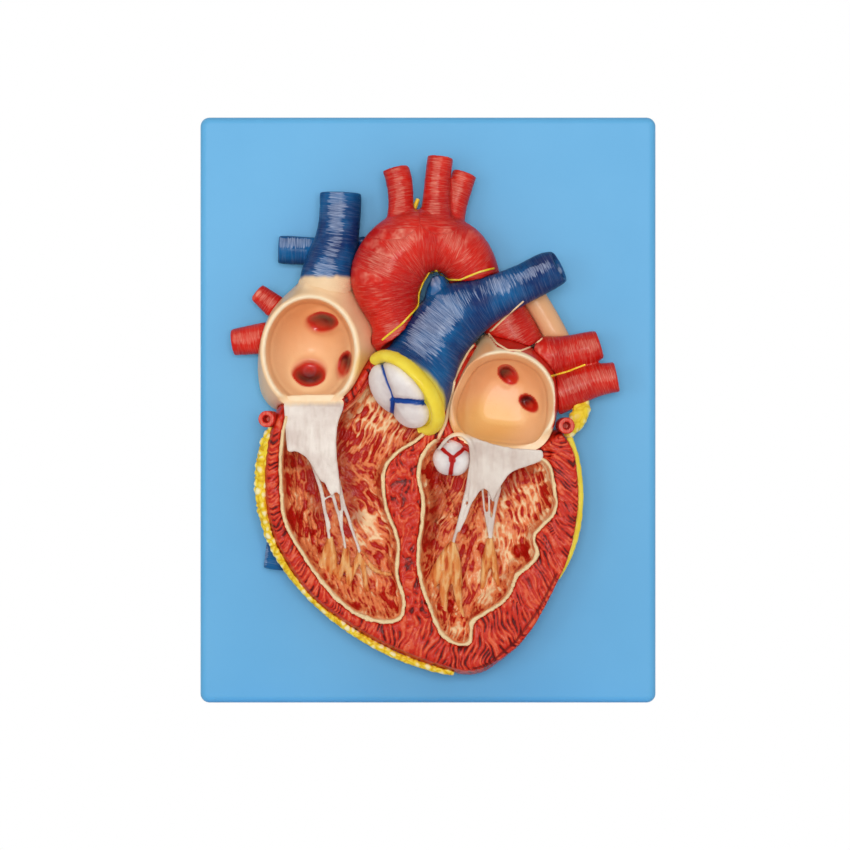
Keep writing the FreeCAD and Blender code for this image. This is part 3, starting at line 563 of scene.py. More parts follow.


# light is the colour of the painted highlights; shade is the darker tone of the mottling and of the painted
# shade on the sides
red = {"body": (228, 38, 22), "shade": (196, 16, 12), "light": (252, 176, 150),
       "mottle": 30, "pitch": 0.8, "length": 9, "strength": 0.62, "highlightRange": (0.45, 1.6), "faint": 0.4,
       "sides": 0.7}
blue = {"body": (0, 98, 158), "shade": (4, 36, 96), "light": (186, 198, 226),
        "mottle": 30, "pitch": 0.95, "length": 14, "strength": 0.8, "highlightRange": (0.75, 1.15), "faint": 0.16,
        "sides": 1.0}
peach = (254, 220, 176)
paints = {      # slot and paint of each
    "muscle": ("muscle_red", carvedMaterial(
        "muscleRed", (92, 6, 4), (206, 42, 22), (232, 98, 58),
        {"dark": (112, 14, 12)}, mottle=7.0, glint=0.28)),
    "skin": ("endocardium_cream", carvedMaterial(
        "endocardiumCream", (184, 26, 14), (238, 138, 84), (255, 222, 172),
        {"shadow": (158, 28, 16), "cream": (243, 214, 164)}, glint=0.12)),
    "papillary": ("papillary_cream", carvedMaterial(
        "papillaryCream", (200, 88, 40), (226, 142, 74), (240, 186, 120), {}, mottle=12.0)),
    "artery": ("artery_red", vesselMaterial("arteryRed", red, {})),
    "vein": ("vein_blue", vesselMaterial("veinBlue", blue, {"peach": peach, "yellow": (246, 224, 70)})),
    "atrium": ("atrium_peach", plainPaint(
        "atriumPeach", peach, (250, 208, 160),
        {"shadow": (236, 160, 104), "pale": (250, 206, 154), "rim": (255, 232, 196),
         "redPaint": (208, 34, 18), "deepRed": (80, 6, 8), "golden": (236, 190, 72)},
        wet="redPaint")),
    "valve": ("valve_white", plainPaint("valveWhite", (236, 224, 212), (214, 196, 184),
                                        {"fold": (190, 160, 146), "peach": peach})),
    "cusp": ("valve_white", plainPaint(
        "cuspWhite", (248, 242, 238), (230, 220, 216),
        {"fold": (186, 168, 172), "seam": (6, 66, 150), "redSeam": (184, 24, 20)})),
    "fat": ("fat_yellow", carvedMaterial("fatYellow", (228, 180, 20), (250, 220, 60),
                                         (255, 246, 190), {})),
    "ring": ("fat_yellow", plainPaint("ringYellow", (255, 234, 84), (248, 218, 56), {})),
}
print("Paints mixed")


# heart muscle, cut open

# notches and bays in the edge of the left hollow: x, z, reach, then right and up
leftHollowPulls = [(86, -91, 9, -5, -2), (84, -112, 6, 2.5, 2), (90, -72, 10, 2, 0), (33, -160, 6, -2, 1)]
muscle = {
    "name": "heartMuscle", "nodes": ["heart_wall"], "voxel": 1.5, "smooth": 3, "fine": (-0.75, 1.2),
    "facing": (0.45, 0.8), "cutHeight": (48, 50.5),           # what counts as the cut face
    "sideFacing": (-0.6, -0.3), "sideHeight": (6, 14),        # and as the wall's side
    "outline": [(-116, -15), (-121, -55), (-113, -98), (-87, -138), (-40, -171), (14, -193), (50, -190),
                (83, -157), (105, -112), (113, -70), (108, -29), (101, -20)],
    "septum": [(-4, 10), (-18, -20), (-22, -50), (-15, -90), (-13, -120), (-8, -150)],
    "septumReach": (10, 20),
    "groovePitch": 3.7, "grooveDepth": 1.3,
    "grooveLean": ([0, 190, 247, 330, 420], [0.6, 0.4, -0.2, -0.6, -0.85]),   # by place along the outline
    "inset": [(97, -124), (84, -150), (66, -175), (46, -192), (24, -200)], "insetDepth": 0.9,
    "lumpSize": 6.0, "lumpDepth": 1.6, "sideDepth": 0.7, "waveSize": 9, "waveSeeds": (3, 7, 8),
    "laneWave": 2.5, "septumWave": 5, "grooveSeed": 5,
    "curl": 3.6, "curlAxes": (1, 0, 0.8), "lumpSeed": 11, "winding": (3.4, 13), "windingWave": 4,
    "swirlMix": (0.5, 0.5, 0.2, 0.02),      # shares of lumps, winding ridges and grooves, less a level
    "cutLevel": 0.8, "sideLevel": 0.7, "sideTone": (0.25, 0.45),
    "slowTone": (16, 21, 0.1), "fineTone": (1.4, 23, 0.1),            # size, seed and depth
    "footDark": (0.6, (0, 36)), "insetShade": 0.8, "insetReach": (0.4, 1.3),
    "mitralHinge": [(34, -28), (60, -33), (86, -33)], "tricuspidHinge": [(-104, 2), (-70, 2)],
    "strands": [[(36, 50, 38, 2.5), (29, 40, 40, 4), (23, 27, 42, 5), (18, 12, 44, 5.5), (13, -2, 45, 5),
                 (7, -14, 46, 4)]],        # flesh between the trunk and the left atrium
    "hingeDrop": 4.0, "hingeReach": (4, 9),     # how far the cut face dips where the leaflets cross it
}


slim = {
    "depth": 3.6, "way": (-1, 0, 0.15), "outward": (0.9, 0, -0.3), "turned": (0.1, 0.4),
    "height": (2, 20), "cut": (46, 51), "side": (70, 90), "lean": 0.25, "level": 80, "top": 2,
}


def slimRight(piece):
    # draws the right side in behind the cut, so that the fat band lies close beside it
    right, height, up = points(piece).T
    belly = ease(*slim["height"], height) * fade(*slim["cut"], height)
    outward = ease(*slim["turned"], normals(piece) @ np.array(slim["outward"]))
    side = ease(*slim["side"], right - slim["lean"] * (up + slim["level"])) * (up < slim["top"])
    push(piece, slim["depth"] * side * belly * outward, slim["way"])


def lie(across, down, pitch, length):
    # places on strands that are this wide, and this many times as long
    return np.stack([across / pitch, down / (pitch * length), 0 * across], axis=1)


def fibres(across, down, pitch, seed):
    # long rounded strands side by side, parted by creases that come and go
    spots = lie(across, down, pitch, 4)
    phase = spots[:, 0] + 0.8 * softNoise(spots * (0.6, 1, 1), seed)
    roundness = np.abs(np.sin(np.pi * phase))
    present = 0.2 + 0.8 * ease(-0.4, 0.4, softNoise(spots * (1.3, 1.7, 1), seed + 1))
    fine = softNoise(spots * (3.1, 2.5, 1), seed + 2)
    return np.clip(0.72 - 0.9 * present * (1 - roundness) + 0.34 * fine, 0, 1)


def netting(across, down, pitch, seed):
    # a web of winding ridges with slits between them, drawn out one way
    spots = lie(across, down, pitch, 2.8)
    valley = np.abs(softNoise(spots + np.outer(0.35 * softNoise(spots * 1.6, seed + 1), (1, 0, 0)), seed))
    fine = softNoise(spots * (3.4, 3.6, 1), seed + 2)
    return np.clip(1.02 - 1.7 * valley + 0.3 * fine, 0, 1)


def slits(across, down, pitch, seed):
    # short dark slits in lanes side by side
    phase = across / pitch + 0.3 * softNoise(lie(across, down, 9, 1), seed)
    lane = np.floor(phase + 0.5)
    narrow = fade(0.14, 0.32, np.abs(phase - lane))
    lengths = np.stack([lane * 7.3, down / 7.5, 0 * across], axis=1)
    return narrow * ease(-0.05, 0.25, softNoise(lengths, seed + 1))


def pullIn(piece, pulls):
    # drags a region sideways: middle x and z, reach, and how far right and up
    where, flat, _ = surface(piece)
    high = ease(14, 40, where[:, 1])
    for x, z, reach, right, up in pulls:
        push(piece, high * falloff(flat, x, z, reach), (right, 0, up))


def makeMuscle():
    piece = melted(muscle, muscle, [copyOf(muscle)])
    divideFront(piece, *muscle["fine"])
    pullIn(piece, leftHollowPulls)
    slimRight(piece)
    where, flat, facing = surface(piece)
    front = ease(*muscle["facing"], facing) * ease(*muscle["cutHeight"], where[:, 1])
    side = ease(*muscle["sideHeight"], where[:, 1]) * (1 - front) * ease(*muscle["sideFacing"], facing)
    wave, rightWave, upWave = [softNoise(where / muscle["waveSize"], seed) for seed in muscle["waveSeeds"]]
    inward, along = nearPath(flat, muscle["outline"])
    lane = along + np.interp(along, *muscle["grooveLean"]) * inward + muscle["laneWave"] * wave
    grooves = fibres(lane, inward, muscle["groovePitch"], muscle["grooveSeed"])
    warp = np.stack([rightWave, 0 * wave, upWave], axis=1)
    curled = (where * muscle["curlAxes"] + muscle["curl"] * warp) / muscle["lumpSize"]
    wound = where + muscle["windingWave"] * warp
    winding = netting(wound[:, 0], wound[:, 2], *muscle["winding"])
    lumpy, windy, grooved, level = muscle["swirlMix"]
    swirls = lumpy * lumps(curled, muscle["lumpSeed"]) + windy * winding + grooved * grooves - level
    toSeptum = awayFrom(flat, muscle["septum"]) + muscle["septumWave"] * wave
    inSeptum = fade(*muscle["septumReach"], toSeptum)
    relief = inSeptum * np.clip(swirls, 0, 1) + (1 - inSeptum) * grooves
    depth = inSeptum * muscle["lumpDepth"] + (1 - inSeptum) * muscle["grooveDepth"]
    push(piece, front * (relief - muscle["cutLevel"]) * depth
         + side * (grooves - muscle["sideLevel"]) * muscle["sideDepth"])
    hinges = np.minimum(awayFrom(flat, muscle["mitralHinge"]), awayFrom(flat, muscle["tricuspidHinge"]))
    push(piece, front * fade(*muscle["hingeReach"], hinges) * muscle["hingeDrop"], (0, 1, 0))
    slow = uneven(where, *muscle["slowTone"], layeredNoise) + uneven(where, *muscle["fineTone"])
    low, rise = muscle["sideTone"]
    mask(piece, "relief", np.clip(front * relief + (1 - front) * (low + rise * grooves) + slow, 0, 1))
    # dark: painted shade in the sunk inset groove, and darker paint low on the wall near the board
    inset = fade(*muscle["insetReach"], awayFrom(flat, muscle["inset"])) * front
    push(piece, -inset * muscle["insetDepth"])
    dark, foot = muscle["footDark"]
    mask(piece, "dark", np.maximum(dark * fade(*foot, where[:, 1]), muscle["insetShade"] * inset))
    finishPiece(piece, "muscle", muscle["nodes"])


makeMuscle()


# ventricle linings, with the ridges that branch over their floors

skins = {
    "voxel": 1.3, "smooth": 3, "fine": (-0.35, 30), "lip": 1.1, "lipHeight": (49.2, 51.2),
    "ridgeDepth": 2.4, "ridgeLevel": 0.2, "cutDepth": 0.6, "hingeDrop": 4.5, "insideHeight": (46.5, 49.5),
    "web": (3.6, 35, 0.6), "thin": (2.6, 37, 0.4), "seedStep": 5,         # ridges: pitch, seed and share
    # unevenness: size, seed and depth
    "bend": (10, 47, 2.2), "lipWave": (5, 31, 0.8), "lipRise": (4, 41, 0.4), "brightWave": (12, 43, 0.3),
    "grain": (1.5, 49, 0.14), "gaps": (5, 39), "gapLimits": (0.3, 0.6), "gapInBright": 0.8,
    "slitSeed": 55, "slitEdge": (0.25, 0.6), "brightLimits": (0.1, 0.9), "bareReach": (4, 9),
    "facing": (0.1, 0.5), "beads": (3.6, 59), "beadLevel": 0.4, "beadDepth": 1.6,
    "wander": (5, 45, 46), "wanderDepth": 1.1,
    "pitPaint": (0.15, (0.75, 1.1)), "pitDepth": (3.0, (0.4, 1.1)), "shadow": (0.6, (1, 10)),
    "right": {
        "name": "rightVentricleSkin", "nodes": ["right_ventricle_lining"], "pulls": [],
        # x, z, reach and the ridges' angle there
        "grain": [(-22, 6, 45, 62), (-48, -82, 36, 132), (-95, -70, 34, 98), (-62, -142, 36, 112)],
        "bright": [(-38, 2, 30), (-44, -84, 20), (-20, 24, 20), (-50, -120, 10)],
        "pits": [], "slits": [(-50, -18, 25, 66, 4.8), (-92, -92, 14, 80, 5.5), (-36, -70, 14, 110, 5.5)],
        "beads": (-55, -162, 10),
        "bare": [(-104, 2), (-66, 4), (-40, 30), (-18, 36), (0, 20), (4, 4), (0, -10)],   # no pale lip
        "shade": [[(-103, -38), (-92, -44), (-86, -60), (-82, -80)],      # the leaflet darkens it here
                  [(-60, 2), (-65, -8), (-67.5, -16), (-66.5, -30), (-63, -48), (-59, -66), (-55, -82)]],
        "strands": [
            [(-36, -120, 32.5, 1.6), (-44, -121, 37.5, 1.4), (-51, -107, 43.5, 1.2)],
            [(-92, -60, 32.5, 1.5), (-96, -82, 32.5, 1.8), (-88, -104, 32.5, 1.4)],
            [(-90, -75, 30.5, 1.2), (-84, -92, 31.5, 1.5), (-86, -108, 31.5, 1.2)],
        ],
    },
    "left": {
        "name": "leftVentricleSkin", "nodes": ["left_ventricle_lining"], "pulls": leftHollowPulls,
        "grain": [(74, -55, 40, 108), (60, -112, 34, 98), (6, -70, 34, 64), (20, -150, 38, 76)],
        "bright": [(76, -62, 26), (62, -92, 24), (78, -84, 16), (46, -130, 18), (20, -168, 12),
                   (48, -84, 10)],
        "pits": [(70, -107, 7.5, 5.5)], "slits": [(72, -62, 27, 108, 4.6), (34, -118, 22, 70, 5.5)],
        "beads": (58, -136, 24),
        "bare": [(14, -24), (34, -31), (60, -35), (78, -34)],
        "shade": [[(8, -34), (10, -56), (4, -80), (2, -100)], [(58, -60), (66, -52), (78, -46)]],
        "strands": [
            [(9, -52, 31.5, 1.4), (18, -72, 33.5, 1.8), (22, -84, 31.5, 1.2)],
            [(18, -72, 33.5, 1.6), (8, -84, 32.5, 1.8), (-1, -100, 31.5, 1.3)],
            [(38, -66, 31.5, 1.2), (36, -84, 32.5, 1.6), (28, -98, 31.5, 1.3)],
            [(12, -136, 31.5, 1.5), (24, -152, 31.5, 1.8), (30, -164, 33.5, 1.3)],
        ],
    },
}


def makeRidges(where, flat, grain):
    # ridges that run as the grain says at its places and turn between them
    relief, total = 0, 1e-6
    bend = uneven(where, *skins["bend"])
    for number, (x, z, reach, lean) in enumerate(grain):
        weight = falloff(flat, x, z, reach) ** 2 + 1e-9
        down, across = turnedAt(flat, x, z, lean)
        ridges = [share * form(across + bend, down, pitch, seed + skins["seedStep"] * number)
                  for form, (pitch, seed, share) in ((netting, skins["web"]), (fibres, skins["thin"]))]
        relief = relief + weight * (ridges[0] + ridges[1])
        total = total + weight
    return relief / total


def makeSkin(kit):
    piece = melted(kit, skins, [copyOf(kit)])
    divideFront(piece, *skins["fine"])
    pullIn(piece, kit["pulls"])
    where, flat, facing = surface(piece)
    lip = ease(*skins["lipHeight"], where[:, 1] + uneven(where, *skins["lipWave"]))
    inside = fade(*skins["insideHeight"], where[:, 1])
    relief = makeRidges(where, flat, kit["grain"])
    cut = np.zeros(len(where))
    for x, z, reach, lean, pitch in kit["slits"]:
        down, across = turnedAt(flat, x, z, lean)
        near = ease(*skins["slitEdge"], falloff(flat, x, z, reach))
        cut = np.maximum(cut, near * slits(across, down, pitch, skins["slitSeed"]))
    bright = np.max([falloff(flat, *spot) for spot in kit["bright"]], axis=0)
    bright = ease(*skins["brightLimits"], bright + uneven(where, *skins["brightWave"], layeredNoise))
    gaps = ease(*skins["gapLimits"], uneven(where, *skins["gaps"], 1, layeredNoise))
    gaps *= 1 - skins["gapInBright"] * bright
    bare = fade(*skins["bareReach"], awayFrom(flat, kit["bare"]))
    lipped = lip * (1 - bare)
    deep = (relief - skins["ridgeLevel"]) * skins["ridgeDepth"] - skins["cutDepth"] * cut
    push(piece, inside * ease(*skins["facing"], facing) * deep)
    rise = (skins["lip"] + uneven(where, *skins["lipRise"])) * (1 - bare) - skins["hingeDrop"] * bare
    push(piece, lip * rise, (0, -1, 0))
    size, seed = skins["beads"]
    beads = (lumps(where / size, seed) - skins["beadLevel"]) * falloff(flat, *kit["beads"])
    push(piece, lipped * skins["beadDepth"] * beads)
    size, rightSeed, upSeed = skins["wander"]
    right, up = [layeredNoise(where / size, number) for number in (rightSeed, upSeed)]
    wander = np.stack([right, 0 * right, up], axis=1)
    push(piece, lipped * skins["wanderDepth"] * (wander * normals(piece)).sum(axis=1))
    shade = (0.5 + 1.25 * (relief - 0.5)) * (0.72 + 0.4 * bright) + 0.12 * bright - 0.2 * gaps - 0.6 * cut
    shade = np.clip(shade + uneven(where, *skins["grain"]), 0, 1)
    for spot in kit["pits"]:
        pit = inEllipse(flat, *spot)
        low, edge = skins["pitPaint"]
        shade *= low + (1 - low) * ease(*edge, pit)
        depth, edge = skins["pitDepth"]
        push(piece, inside * fade(*edge, pit) * depth, (0, 1, 0))
    mask(piece, "relief", shade * inside + (1 - inside) * (0.6 - 0.5 * bare))
    mask(piece, "cream", lipped)
    share, reach = skins["shadow"]
    shaded = np.max([fade(*reach, awayFrom(flat, path)) for path in kit["shade"]], axis=0)
    mask(piece, "shadow", share * inside * shaded)
    finishPiece(piece, "skin", kit["nodes"])


def makePair(make, kits):
    for sideName in ("right", "left"):
        make(kits[sideName])


makePair(makeSkin, skins)


# papillary muscles: bundles that spread from a head into the floor

papillaries = {
    "voxel": 0.8, "smooth": 3, "streaks": ((1.9, 2.6, 13), 51, 0.8), "tone": 0.62, "depth": 0.7,
    "right": {
        "name": "rightPapillaryMuscles", "nodes": ["right_papillary_muscles"],
        "strands": [
            [(-74, -96, 42, 2.2), (-77, -110, 38, 3.8), (-84, -126, 36, 2.6), (-87, -134, 31, 1.6)],
            [(-74, -96, 42, 2.2), (-74, -112, 38, 3.8), (-76, -130, 35, 2.6), (-76, -142, 30, 1.5)],
            [(-74, -97, 42, 1.8), (-70, -112, 39, 2.6), (-70, -128, 34, 1.8)],
            [(-62, -104, 41, 2.0), (-64, -116, 39, 2.4), (-68, -130, 34, 1.8), (-70, -140, 30, 1.4)],
            [(-62, -104, 41, 2.0), (-61, -120, 37, 2.2), (-60, -136, 32, 1.6)],
            [(-51, -107, 40, 2.2), (-56, -120, 38, 2.4), (-60, -132, 34, 1.8)],
            [(-51, -107, 40, 2.2), (-49, -122, 37, 2.2), (-46, -138, 32, 1.7)],
            [(-51, -107, 40, 2.0), (-44, -119, 39, 1.7), (-36, -124, 36, 1.5), (-27, -125, 36, 1.5)],
        ],
    },
    "left": {
        "name": "leftPapillaryMuscles", "nodes": ["left_papillary_muscles"],
        "strands": [
            [(19, -100, 42, 2.2), (12, -113, 37, 5.2), (4, -128, 35, 4.6), (2, -142, 32, 2.2),
             (4, -150, 30, 1.4)],
            [(19, -101, 42, 2.2), (17, -116, 38, 5.4), (12, -134, 36, 4.2), (12, -152, 33, 2.0),
             (14, -160, 30, 1.2)],
            [(19, -101, 42, 2.0), (22, -118, 38, 4.2), (22, -136, 36, 3.2), (25, -154, 33, 1.9),
             (28, -162, 30, 1.2)],
            [(47, -97, 42, 2.2), (45, -110, 37, 3.8), (43, -122, 35, 3.0), (41, -136, 31, 1.6)],
            [(47, -97, 42, 2.2), (49, -112, 38, 3.6), (51, -124, 35, 2.6), (54, -136, 31, 1.5)],
        ],
    },
}


def makePapillaries(kit):
    piece = melted(kit, papillaries)
    streaks = uneven(points(piece), *papillaries["streaks"], layeredNoise)
    relief = np.clip(papillaries["tone"] + streaks, 0, 1)
    push(piece, (relief - 0.5) * papillaries["depth"])
    mask(piece, "relief", relief)
    finishPiece(piece, "papillary", kit["nodes"])


makePair(makePapillaries, papillaries)


# leaflets and their strands, one white web on each side

webs = {
    "voxel": 0.75, "smooth": 5, "thickness": 2.6, "folds": ((4, 8, 18), 61, 1), "foldDepth": 0.45,
    "foldShading": (0.25, (0.0, -0.6)), "foldedBlend": 2,
    "right": {
        "name": "tricuspidWeb", "nodes": ["tricuspid_leaflet", "tricuspid_chordae"],
        "top": 50.4, "slope": 0.0, "blend": (2, 7), "tuck": 1.2,
        "outline": [(-108, 11), (-109, 10), (-108.5, -10), (-106.5, -30), (-105.5, -32), (-98, -31),
                    (-90, -38), (-85, -47), (-81, -54), (-77.5, -55), (-75.5, -61), (-72.5, -66),
                    (-69.5, -61), (-66, -66), (-66, -58), (-69.5, -30), (-68.5, -10), (-64, 0),
                    (-63, 10), (-65, 12)],
        "strands": [
            [(-88, -40, 48, 1.2), (-81.5, -56, 47, 1.5), (-78.5, -72, 45, 1.5), (-74.5, -98, 43, 1.1)],
            [(-73.5, -58, 48, 1.4), (-70.5, -70, 47, 1.5), (-65.5, -86, 45, 1.3), (-62.5, -105, 43, 1.1)],
            [(-67.5, -52, 48, 1.4), (-65.5, -66, 48, 1.5), (-59.7, -83, 46, 1.4), (-51.5, -108, 43, 1.2)],
            [(-79.5, -69, 46, 0.9), (-75.5, -65, 47, 1.0), (-72, -65, 47, 0.9)],
            [(-66.5, -64, 47, 0.9), (-64.5, -77, 46, 0.9), (-65, -89, 45, 0.8)],
            [(-79, -74, 45, 0.8), (-75, -80, 45, 0.7), (-74, -90, 44, 0.7)],
        ],
    },
    "left": {
        "name": "mitralWeb", "nodes": ["mitral_leaflet", "mitral_chordae"],
        "top": 54, "slope": 0.08, "blend": (-24, -17), "tuck": 2.0,
        "outline": [(29, -17), (30, -19), (46, -25), (62, -29), (83, -30), (87, -31), (87, -38), (80, -41),
                    (70, -44), (61, -48), (56, -56), (51, -64), (49, -72), (46, -62), (42, -59), (38, -63),
                    (34, -69), (31, -74), (30, -68), (31.5, -60), (32.5, -45), (31, -30)],
        "strands": [
            [(8, -30, 52, 1.2), (12, -24, 53, 1.6), (19, -18, 54, 1.7), (28, -19, 54, 1.9),
             (34, -28, 53, 2.2), (36, -42, 50, 2.4)],
            [(34, -34, 50, 2.0), (30.5, -56, 48, 1.6), (26, -76, 46, 1.6), (22, -90, 44, 1.6),
             (19, -101, 42, 1.3)],
            [(36, -60, 49, 1.4), (31, -72, 48, 1.7), (27, -83, 46, 1.6), (23, -92, 44, 1.3)],
            [(41, -58, 47, 1.2), (42, -72, 46, 1.0), (45, -88, 44, 1.0), (47, -99, 42, 1.0)],
            [(46, -58, 47, 1.2), (46, -76, 45, 1.0), (47, -99, 42, 1.0)],
            [(54, -58, 47, 1.8), (51, -72, 46, 1.5), (49, -86, 44, 1.2), (47, -100, 42, 1.2)],
        ],
    },
}


def makeWeb(kit):
    piece = melted(kit, webs, [sheet(kit["outline"], kit["top"], kit["slope"], webs["thickness"])])
    where = points(piece)
    folds = uneven(where, *webs["folds"], layeredNoise)
    push(piece, folds * webs["foldDepth"])
    # painted shade in the hollows of the folds
    share, limits = webs["foldShading"]
    mask(piece, "fold", share * ease(*limits, folds))
    mask(piece, "peach", ease(*kit["blend"], where[:, 2] + webs["foldedBlend"] * folds))
    push(piece, kit["tuck"] * ease(*kit["blend"], where[:, 2]), (0, 1, 0))
    finishPiece(piece, "valve", kit["nodes"])


makePair(makeWeb, webs)


# great vessels

brush = {
    "smooth": 6, "apart": 300,       # how far apart the marks of two branches are taken
    # from and reach: which way the painted highlights face and how far they spread; edge, away and dark:
    # painted shade on the sides and on the low side facing away
    "from": (-0.14, -0.97, 0.14), "reach": (0.8, 0.99), "edge": 0.4, "away": (0.7, 0, -0.7), "dark": 0.7,
    "sideShadeFacing": (0.08, 0.5), "lowShadeFacing": (0.15, 0.85), "patches": (16, 73, 0.12),
    "grain": ((1.5, 14, 14), 71, 0.14),      # fine grooves round a vessel
    "yellowEdge": (0.5, 8), "yellowWave": (5, 77, 1.2),
    "peachEdge": (-1.8, 1.8), "peachWave": ((3, 30, 30), 75, 1.3),
    "flattenFacing": (-0.2, 0.8), "flattenWay": (0.25, 0, -1),
}
vessels = [
    {
        "name": "aorta", "paint": "artery", "voxel": 1.3,
        "nodes": ["aortic_arch", "brachiocephalic_trunk", "left_carotid_artery", "left_subclavian_artery"],
        "lines": [
            [(-19, 36, 47), (-29, 38, 84), (-31, 40, 99), (-25, 41, 114), (-11, 41, 125), (6, 40, 127),
             (22, 37, 121), (33, 33, 107), (38, 25, 79)],
            [(-20, 41, 136), (-20, 41, 152), (-25, 39, 181)],
            [(6, 40, 137), (7, 41, 169), (10, 40, 189)],
            [(17, 33, 134), (20, 31, 150), (28, 29, 178)],
        ],
        "taller": (145, 176, 2.6),
    },
    {
        "name": "pulmonaryTrunk", "paint": "vein", "voxel": 1.2,
        "nodes": ["pulmonary_trunk"],
        "lines": [[(-19, 58, 13), (-7, 46, 34), (6, 41, 54), (21, 41, 72), (41, 44, 84), (62, 46, 92),
                   (98, 45, 108)]],
        "lights": [(-0.2, -0.93, 0.3)], "turned": True, "flatten": (74, 116, 17, 7.0),
        "strands": [[(4, 78, 44, 8), (6, 88, 45, 8.5), (8, 95, 44, 7.5), (9, 101, 43, 4.5)]],
    },
    {
        "name": "descendingAorta", "paint": "artery", "voxel": 1.2,
        "nodes": ["descending_aorta"],
        "lines": [[(44, 24, 92), (58, 22, 70), (70, 20, 46)]],
    },
    {
        "name": "inferiorVenaCava", "paint": "vein", "voxel": 1.1,
        "nodes": ["inferior_vena_cava"],
        "lines": [[(-110, 13, -86), (-115, 13, -122)]], "lights": [(-1, -0.2, 0)],
    },
    {
        "name": "superiorVenaCava", "paint": "vein", "voxel": 1.1,
        "nodes": ["superior_vena_cava", "side_vein"],
        "lines": [[(-78, 31, 90), (-70, 31, 126), (-66, 30, 164)], [(-114, 18, 122), (-90, 18, 122)]],
        "lights": [(-0.18, -0.98, 0.05), (0, -0.8, 0.55)], "peachBelow": 100.5, "taller": (140, 164, 1.0),
    },
    {
        "name": "rightPulmonaryVeins", "paint": "artery", "voxel": 1.0,
        "nodes": ["right_upper_pulmonary_vein", "right_lower_pulmonary_vein"],
        "lines": [[(-128, 19, 88), (-109, 21, 72)], [(-145, 17, 52), (-118, 19, 56)]],
        "swell": 1.0,
    },
    {
        "name": "leftPulmonaryVeins", "paint": "artery", "voxel": 1.1,
        "nodes": ["left_upper_pulmonary_vein", "left_lower_pulmonary_vein"],
        "lines": [[(92, 31, 41), (131, 31, 50)], [(94, 30, 9), (144, 33, 25)]],
    },
]
root = {
    # where the trunk's mouth is and how its long axis leans, then where they come to be
    "middle": (-18.5, 12.0), "lean": -27.8,
    "moved": (-17.8, 11.0), "turned": -46,
    "along": 1.06, "across": 0.81, "fade": (6, 40),
    "axis": (0.45, -0.64, 0.62), "start": (-19, 58, 13),
}


def alongRoot(where):
    return (where - root["start"]) @ np.array(root["axis"])


def turnRoot(piece):
    # turns and narrows the mouth of the pulmonary trunk, fading out along it
    where, flat, _ = surface(piece)
    along, across = turnedAt(flat, *root["middle"], root["lean"])
    share = fade(*root["fade"], alongRoot(where))
    moved = turnedBack(*root["moved"], root["turned"], root["along"] * along, root["across"] * across)
    push(piece, share * (moved[0] - where[:, 0]), (1, 0, 0))
    push(piece, share * (moved[1] - where[:, 2]), (0, 0, 1))


def paintVessel(piece, along, light):
    # painted shade towards the sides and on what faces low and to the right, and painted highlights over what
    # faces the light's way
    outward = normals(piece)
    towards = (outward * light).sum(axis=1) / np.linalg.norm(light, axis=-1)
    mask(piece, "along", along * mm)
    sides = brush["edge"] * fade(*brush["sideShadeFacing"], -outward[:, 1])
    low = brush["dark"] * ease(*brush["lowShadeFacing"], outward @ np.array(brush["away"]))
    mask(piece, "edge", np.maximum(sides, low))
    patches = uneven(points(piece), *brush["patches"], layeredNoise)
    mask(piece, "lit", ease(*brush["reach"], towards + patches))


def makeVessel(kit):
    piece = melted(kit, brush, [copyOf(kit)])
    where, flat, _ = surface(piece)
    away, travelled = np.array([nearPath(where, line) for line in kit["lines"]]).transpose(1, 0, 2)
    branch = away.argmin(axis=0)
    along = travelled[branch, np.arange(len(where))] + brush["apart"] * branch
    if "taller" in kit:
        start, end, amount = kit["taller"]
        push(piece, amount * ease(start, end, where[:, 2]), (0, 0, 1))
    if "turned" in kit:
        turnRoot(piece)
        where, flat, _ = surface(piece)
    grain = uneven(np.stack([along, where[:, 0], where[:, 2]], axis=1), *brush["grain"])
    push(piece, kit.get("swell", 0) + grain)
    if "flatten" in kit:
        *spot, depth = kit["flatten"]
        upward = ease(*brush["flattenFacing"], normals(piece)[:, 2])
        push(piece, depth * falloff(flat, *spot) * upward, brush["flattenWay"])
    # each branch's painted highlights face the way its lights entry gives
    lights = np.array(kit.get("lights", [brush["from"]]))
    paintVessel(piece, along, lights[np.minimum(branch, len(lights) - 1)])
    if "turned" in kit:
        wave = uneven(where, *brush["yellowWave"])
        mask(piece, "yellow", fade(*brush["yellowEdge"], alongRoot(where) + wave))
    if "peachBelow" in kit:
        ragged = where[:, 2] - kit["peachBelow"] + uneven(where, *brush["peachWave"])
        mask(piece, "peach", fade(*brush["peachEdge"], ragged))
    finishPiece(piece, kit["paint"], kit["nodes"])


for kit in vessels:
    makeVessel(kit)


# atria: bowls with a pale rim and vein openings

